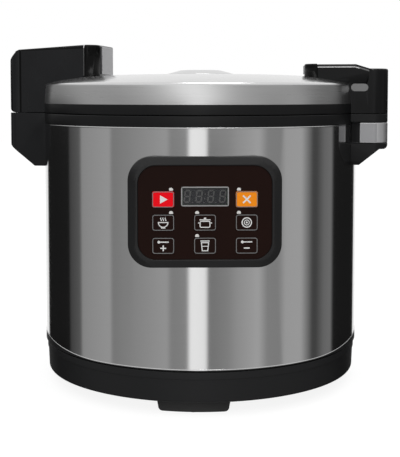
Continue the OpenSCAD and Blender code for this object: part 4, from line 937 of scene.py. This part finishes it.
def make_joint_highlight_strip():
    """Thin metal strip round the hinge arm where its end cap starts: a painted highlight on the joint's edge,
    brightest along its top.
    """
    half = ARM_W / 2 + STRIP_PROUD
    rings = []
    for inset in (0.0, STRIP_T):
        corner = arc((half - STRIP_CORNER, HINGE_TOP_Z - STRIP_CORNER), STRIP_CORNER - inset, 0, 90, 6)
        right = [(half - inset, STRIP_LOW_Z)] + corner
        rings.append(right + [(-v, z) for v, z in right[::-1]])
    outline = rings[0] + rings[1][::-1]
    shape = bmesh.new()
    along, across = arm_axes(-1)
    ends = []
    for u in (HINGE_JOINT_U - STRIP_W / 2, HINGE_JOINT_U + STRIP_W / 2):
        ends.append([shape.verts.new((along * u + across * v + UP * z) * MM) for v, z in outline])
    count = len(outline)
    for k in range(count):
        n = (k + 1) % count
        shape.faces.new([ends[0][k], ends[0][n], ends[1][n], ends[1][k]])
    for end in ends:
        for k in range(count // 2 - 1):
            shape.faces.new([end[k], end[k + 1], end[-k - 2], end[-k - 1]])
    trim = add_piece("hinge_joint_highlight_strip", close_mesh(shape, "hinge_joint_highlight_strip"), JOINT_HIGHLIGHT_SILVER, "lid")
    # The strip's top gets the brighter latch plating: a painted highlight
    second_finish(trim, LATCH_SILVER, lambda place, normal: place.z > HINGE_TOP_Z - STRIP_CORNER)


# Handle: its top, the drop of its slope, and where slope and post start; the ledge's depths below the top
HANDLE_TOP_Z, HANDLE_DROP, HANDLE_SLOPE_U, HANDLE_POST_U = 380.4, 5.0, 190.0, 206.0
LEDGE_FROM, LEDGE_TO, LEDGE_END_U = 1.9, 3.5, HANDLE_POST_U - 0.7
GROOVE_U, GROOVE_HALF, GROOVE_DEPTH = 216.0, 1.25, 0.8
# Points this near to a plane or to an arm's side are taken to lie on it; a cut's own bound is in metres
NEAR, SIDE_V, CUT_GAP = 0.01, ARM_W / 2 - 0.05, 1e-7


def cut_across(shape, place, normal):
    """Splits the faces that a plane crosses."""
    everything = shape.verts[:] + shape.edges[:] + shape.faces[:]
    bmesh.ops.bisect_plane(shape, geom=everything, dist=CUT_GAP, plane_co=place, plane_no=normal)


def handle_ledge(shape):
    """Sets the handle's sides back just below its top edges, over a narrow sloping ledge."""
    along, across = arm_axes(1)
    lean = (along * HANDLE_DROP + UP * (HANDLE_POST_U - HANDLE_SLOPE_U)).normalized()
    corner = (along * HANDLE_SLOPE_U + UP * HANDLE_TOP_Z) * MM
    for below in (LEDGE_FROM, LEDGE_TO):
        for normal in (UP, lean):
            cut_across(shape, corner - normal * below * MM, normal)
    for u in (LEDGE_END_U, HANDLE_POST_U):
        cut_across(shape, along * u * MM, along)
    for vert in shape.verts:
        u, v, _ = along_arm(vert.co, 1)
        deep = min(normal.dot(corner - vert.co) for normal in (UP, lean)) / MM
        if deep < LEDGE_FROM + NEAR and abs(v) > SIDE_V and u < (LEDGE_END_U + HANDLE_POST_U) / 2:
            vert.co -= across * math.copysign((LEDGE_TO - LEDGE_FROM) * MM, v)


def arm_groove(shape):
    """Shallow upright groove in the hinge arm's sides, beside its rounded corner."""
    along, across = arm_axes(-1)
    for u in (GROOVE_U - GROOVE_HALF, GROOVE_U, GROOVE_U + GROOVE_HALF):
        cut_across(shape, along * u * MM, along)
    for vert in shape.verts:
        u, v, _ = along_arm(vert.co, -1)
        if abs(u - GROOVE_U) < NEAR and abs(v) > SIDE_V:
            vert.co -= across * math.copysign(GROOVE_DEPTH * MM, v)


# Faces of the hinge arm's groove, which get the painted shade
def in_groove(place, normal):
    u, v, _ = along_arm(place * MM, -1)
    return abs(u - GROOVE_U) < GROOVE_HALF and abs(v) > SIDE_V - GROOVE_DEPTH and abs(normal.z) < UPRIGHT


# Which edges and faces of the arms and brackets are meant: above or below a height, or further out than a
# distance from the axis along the arm line
Z_HINGE_TOP, Z_HINGE_SLOPE, Z_HANDLE_TOP, Z_CAP_TOP = Z_SEAM + 70, Z_SEAM + 60, Z_SEAM + 49, Z_SEAM + 51
Z_HINGE_SLANT, Z_LATCH_SLANT, Z_LATCH_TOP = Z_SEAM - 37, Z_SEAM - 34, Z_SEAM - 11
Z_OVER_SEAM, Z_UNDER_SEAM = Z_SEAM + 1, Z_SEAM - 1
HINGE_BEVEL_U, HINGE_BEND_U, HINGE_CAP_U, BRACKET_U = 219, 215, 137, BODY_R + 2
POST_EDGE_U = HANDLE_POST_U + 1
# Further to the side than this: the arm's long edges, its cap, and beyond strike, knuckle and hook
HINGE_SIDE_V, CAP_SIDE_V, STRIKE_SIDE_V, KNUCKLE_SIDE_V, HOOK_SIDE_V = 40, 44, 8, 30, 12
# Bounds of the upright part of a normal on walls, on faces that look up and on the ledge, and of the sideways
# part on flat sides; the ledge ends at this distance to the right
UPRIGHT, LOOKS_UP, LEDGE_TILT, SIDEWAYS = 0.2, 0.15, (0.6, 0.8), 0.97
LEDGE_END_X = 204


def on_ledge(place, normal):
    return place.z > Z_HANDLE_TOP and place.x < LEDGE_END_X and LEDGE_TILT[0] < normal.z < LEDGE_TILT[1]


def make_rounded_pieces():
    """Arms, brackets and latch button with the rounded edges of moulded pieces."""
    arm = rounded_copy("hinge_arm", [
        (4.5, lambda u, v, z: z > Z_HINGE_TOP and u < HINGE_BEVEL_U and abs(v) > HINGE_SIDE_V),
        (1.6, lambda u, v, z: z > Z_HINGE_SLOPE and u > HINGE_BEND_U),
        (0.35, lambda u, v, z: z < Z_OVER_SEAM and u > BODY_R),
        (0.8, lambda u, v, z: u < HINGE_CAP_U and abs(v) > CAP_SIDE_V),
    ], ARM_BLACK, side=-1, after=arm_groove)
    # Painted shade in the arm's side groove
    second_finish(arm, PAINTED_SHADE_BLACK, in_groove)
    # Faces near the arm's top that look up get the darker plastic: painted shade, a dark band along the top
    second_finish(arm, PAINTED_SHADE_BLACK, lambda place, normal: place.z > Z_HINGE_SLOPE and normal.z > LOOKS_UP)
    handle = rounded_copy("lid_handle", [
        (2.2, lambda u, v, z: z > Z_HANDLE_TOP and u > POST_EDGE_U),
        (0.35, lambda u, v, z: z < Z_OVER_SEAM and u > BODY_R and abs(v) > STRIKE_SIDE_V),
    ], HANDLE_BLACK, crisp=True, after=handle_ledge)
    second_finish(handle, EDGE_BLACK, on_ledge)
    rounded_copy("arm_end_caps", [(1.8, lambda u, v, z: z > Z_CAP_TOP)], GLOSS_BLACK)
    rounded_copy("hinge_bracket", [
        (0.35, lambda u, v, z: u > BRACKET_U and abs(v) > KNUCKLE_SIDE_V and z > Z_UNDER_SEAM),
        (1.0, lambda u, v, z: u > BRACKET_U and z < Z_HINGE_SLANT),
    ], ARM_BLACK, side=-1)
    rounded_copy("latch_bracket", [
        (1.2, lambda u, v, z: (
            u > BRACKET_U and abs(v) > HOOK_SIDE_V and (z < Z_LATCH_SLANT or z > Z_LATCH_TOP)
        )),
    ], BLACK)
    button = rounded_copy("latch_button", [(0.9, lambda u, v, z: True)], LATCH_SILVER, segments=3)
    across = arm_axes(1)[1]
    # The button's flat sides get the darker plating: painted shade
    second_finish(button, LATCH_SIDE_SHADE, lambda place, normal: abs(normal.dot(across)) > SIDEWAYS)


def make_springs():
    """Copies of the sensor and latch springs' coils, in place of their nodes."""
    for name, body, along in (
        ("sensor_spring", "sensor", UP),
        ("latch_springs", "latch", arm_axes(1)[0]),
    ):
        mesh = NODES[name].data.copy()
        mesh.name = name + "_coil"
        obj = into_scene(name + "_coil", mesh)
        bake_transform(obj)
        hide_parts(name)


# Cards and flags round the object, those that the body shows and those that the lid shows above them: from
# and to in degrees, seen from above with 0 towards the camera and positive to its right, and the level at
# both ends
BODY_CARDS = (
    (-179.9, -155.0, 0.7, 0.7),
    (-150.0, -111.0, 0.012, 0.015),
    (-109.5, -97.5, 0.08, 0.14),
    (-95.5, -68.5, 0.38, 0.47),
    (-67.0, -25.0, 0.29, 0.47),
    (-22.0, -10.5, 0.32, 0.35),
    (-9.0, 2.4, 1.28, 1.20),
    (4.2, 18.0, 0.26, 0.34),
    (24.0, 40.0, 0.42, 0.55),
    (47.0, 58.5, 0.33, 0.32),
    (60.0, 75.0, 0.50, 0.52),
    (78.5, 81.0, 0.36, 0.27),
    (86.0, 90.0, 0.08, 0.08),
    (98.5, 107.0, 0.20, 0.24),
    (110.0, 150.0, 0.015, 0.012),
    (155.0, 179.9, 0.7, 0.7),
)
LID_CARDS = (
    (-179.9, -152.0, 0.7, 0.7),
    (-141.0, -104.0, 0.27, 0.44),
    (-92.0, -72.0, 0.44, 0.385),
    (-60.0, -46.0, 0.385, 0.45),
    (-27.0, -11.0, 0.66, 1.28),
    (-4.0, 4.0, 1.42, 1.34),
    (15.0, 25.0, 0.84, 0.50),
    (37.0, 54.0, 0.385, 0.365),
    (64.0, 72.0, 0.40, 0.45),
    (80.0, 91.0, 0.32, 0.21),
    (110.0, 141.0, 0.19, 0.24),
    (152.0, 179.9, 0.7, 0.7),
)
# How far the lid's cards lean, in radians for each unit of height, and the height at which they are in place
CARD_LEAN, CARD_LEAN_FROM = 1.0, 0.16
# Heights of a direction, -1 down to 1 up, between which the lid's cards, the ceiling and the ground take over
LID_CARDS_FROM, LID_CARDS_WHOLE = -0.01, 0.05
CEILING_FROM, CEILING_WHOLE, CEILING_LEVEL = 0.30, 0.55, 1.0
GROUND_FROM, GROUND_WHOLE = -0.232, -0.262
# Share of light that the ground takes away behind the object, and from how far back
GROUND_SHADE = 0.8
BEHIND_FROM, BEHIND_WHOLE = 0.2, 0.6
# Where the white backdrop starts, in degrees from the camera
BACKDROP_FROM, BACKDROP_WHOLE = 150.5, 154.0


def card_ring(wires, compass, cards):
    """Brightness by compass direction from a ring of cards."""
    ramp = wires.add("ShaderNodeValToRGB")
    wires.put(ramp.inputs[0], wires.spread(compass, 0.0, 1.0, -math.pi, math.pi))
    stops = ramp.color_ramp.elements
    places = []
    for start, end, first, last in cards:
        places += [(start, first), (end, last)]
    for _ in range(len(places) - len(stops)):
        stops.new(0.5)
    for stop, (turn, level) in zip(stops, places):
        stop.position = (turn + 180.0) / 360.0
        stop.color = grey(level)
    return ramp.outputs[0]


def make_world():
    """Studio round the object: rings of cards, a bright ceiling, dim ground behind, white for the camera."""
    world = bpy.data.worlds.new("studio")
    bpy.context.scene.world = world
    world.use_nodes = True
    wires = Wiring(world.node_tree)
    split = wires.add("ShaderNodeSeparateXYZ")
    wires.put(split.inputs[0], wires.add("ShaderNodeTexCoord").outputs["Generated"])
    x, y, z = split.outputs
    compass = wires.math("ARCTAN2", x, wires.math("MULTIPLY", y, -1.0))
    lean = wires.math("MULTIPLY", wires.math("SUBTRACT", z, CARD_LEAN_FROM), CARD_LEAN)
    body = card_ring(wires, compass, BODY_CARDS)
    lid = card_ring(wires, wires.math("ADD", compass, lean), LID_CARDS)
    high = wires.spread(z, 0.0, 1.0, LID_CARDS_FROM, LID_CARDS_WHOLE, smooth=True)
    around = wires.blend(high, body, lid)
    above = wires.spread(z, 0.0, 1.0, CEILING_FROM, CEILING_WHOLE, smooth=True)
    around = wires.blend(above, around, grey(CEILING_LEVEL))
    low = wires.spread(z, 0.0, 1.0, GROUND_FROM, GROUND_WHOLE, smooth=True)
    behind = wires.spread(y, 0.0, 1.0, BEHIND_FROM, BEHIND_WHOLE, smooth=True)
    shade = wires.math("MULTIPLY", wires.math("MULTIPLY", low, behind), GROUND_SHADE)
    rays = wires.add("ShaderNodeLightPath").outputs
    turn = wires.math("ABSOLUTE", compass)
    start, end = math.radians(BACKDROP_FROM), math.radians(BACKDROP_WHOLE)
    backdrop = wires.spread(turn, 0.0, 1.0, start, end)
    shows = wires.math("ADD", rays["Is Glossy Ray"], rays["Is Transmission Ray"])
    around = wires.blend(wires.math("MULTIPLY", backdrop, shows), around, grey(1.0))
    around = wires.blend(shade, around, grey(0.0))
    shown = wires.blend(rays["Is Camera Ray"], around, grey(1.0))
    background = world.node_tree.nodes["Background"]
    wires.put(background.inputs["Color"], shown)
    wires.put(background.inputs["Strength"], 1.0)


LAMP_AIM = (0.0, 0.0, 0.2)


def make_lamp(name, place, size, power):
    """Softbox at a place in metres that looks at the object."""
    data = bpy.data.lights.new(name, "AREA")
    data.shape = "RECTANGLE"
    data.size, data.size_y = size
    data.energy = power
    lamp = into_scene(name, data)
    lamp.location = place
    lamp.rotation_euler = (Vector(LAMP_AIM) - Vector(place)).to_track_quat("-Z", "Y").to_euler()
    return lamp


# Floor: half its side in metres, the paper's level and how much of its white the camera sees unlit
FLOOR_HALF, PAPER_LEVEL, PAPER_GLOW = 6.0, 0.18, 0.87


def make_floor():
    """White floor that keeps the object's soft shadow; metal shows the studio instead of it."""
    mesh = bpy.data.meshes.new("studio_floor")
    corners = [(x * FLOOR_HALF, y * FLOOR_HALF, 0) for x, y in ((-1, -1), (1, -1), (1, 1), (-1, 1))]
    mesh.from_pydata(corners, [], [(0, 1, 2, 3)])
    floor = into_scene("studio_floor", mesh)
    made, wires, _ = start_material("floor_paper")
    nodes = made.node_tree.nodes
    nodes.remove(nodes["Principled BSDF"])
    paper = wires.fill("ShaderNodeBsdfDiffuse", "Color", grey(PAPER_LEVEL))
    rays = wires.add("ShaderNodeLightPath").outputs
    seen = wires.math("ADD", rays["Is Camera Ray"], rays["Is Transmission Ray"])
    glow = wires.math("MULTIPLY", seen, PAPER_GLOW)
    lit = wires.fill("ShaderNodeEmission", "Color Strength", grey(1.0), glow)
    both = wires.add("ShaderNodeAddShader")
    wires.put(both.inputs[0], paper[0])
    wires.put(both.inputs[1], lit[0])
    wires.put(nodes["Material Output"].inputs["Surface"], both.outputs[0])
    mesh.materials.append(made)
    floor.visible_glossy = False


# Widths of the rounded edges on nodes that keep their CAD shape
EDGE_WIDTHS = {
    "control_bezel": 0.9,
    "feet": 1.0,
    "handle_inlay": 0.5,
    "arm_end_plates": 0.4,
    "power_inlet": 0.8,
    "indicator_lenses": 0.35,
    "display_frame": 0.15,
    "vent_cap": 0.4,
}
EDGE_WIDTHS.update(dict.fromkeys(KEYS, 0.3))

make_camera()
make_world()
make_floor()
make_lamp("top_softbox", place=(0.15, -0.1, 2.0), size=(0.6, 0.6), power=8.0)
front = make_lamp("front_softbox", place=(-0.1, -2.4, 1.5), size=(1.2, 1.2), power=22.0)
front.visible_glossy = False
dress_nodes()
make_rims()
make_base()
make_inside()
make_rounded_pieces()
make_springs()
make_joint_highlight_strip()
make_key_prints()
make_digits()
for name, width in EDGE_WIDTHS.items():
    soften(name, width)

bpy.context.scene.view_settings.view_transform = "Standard"
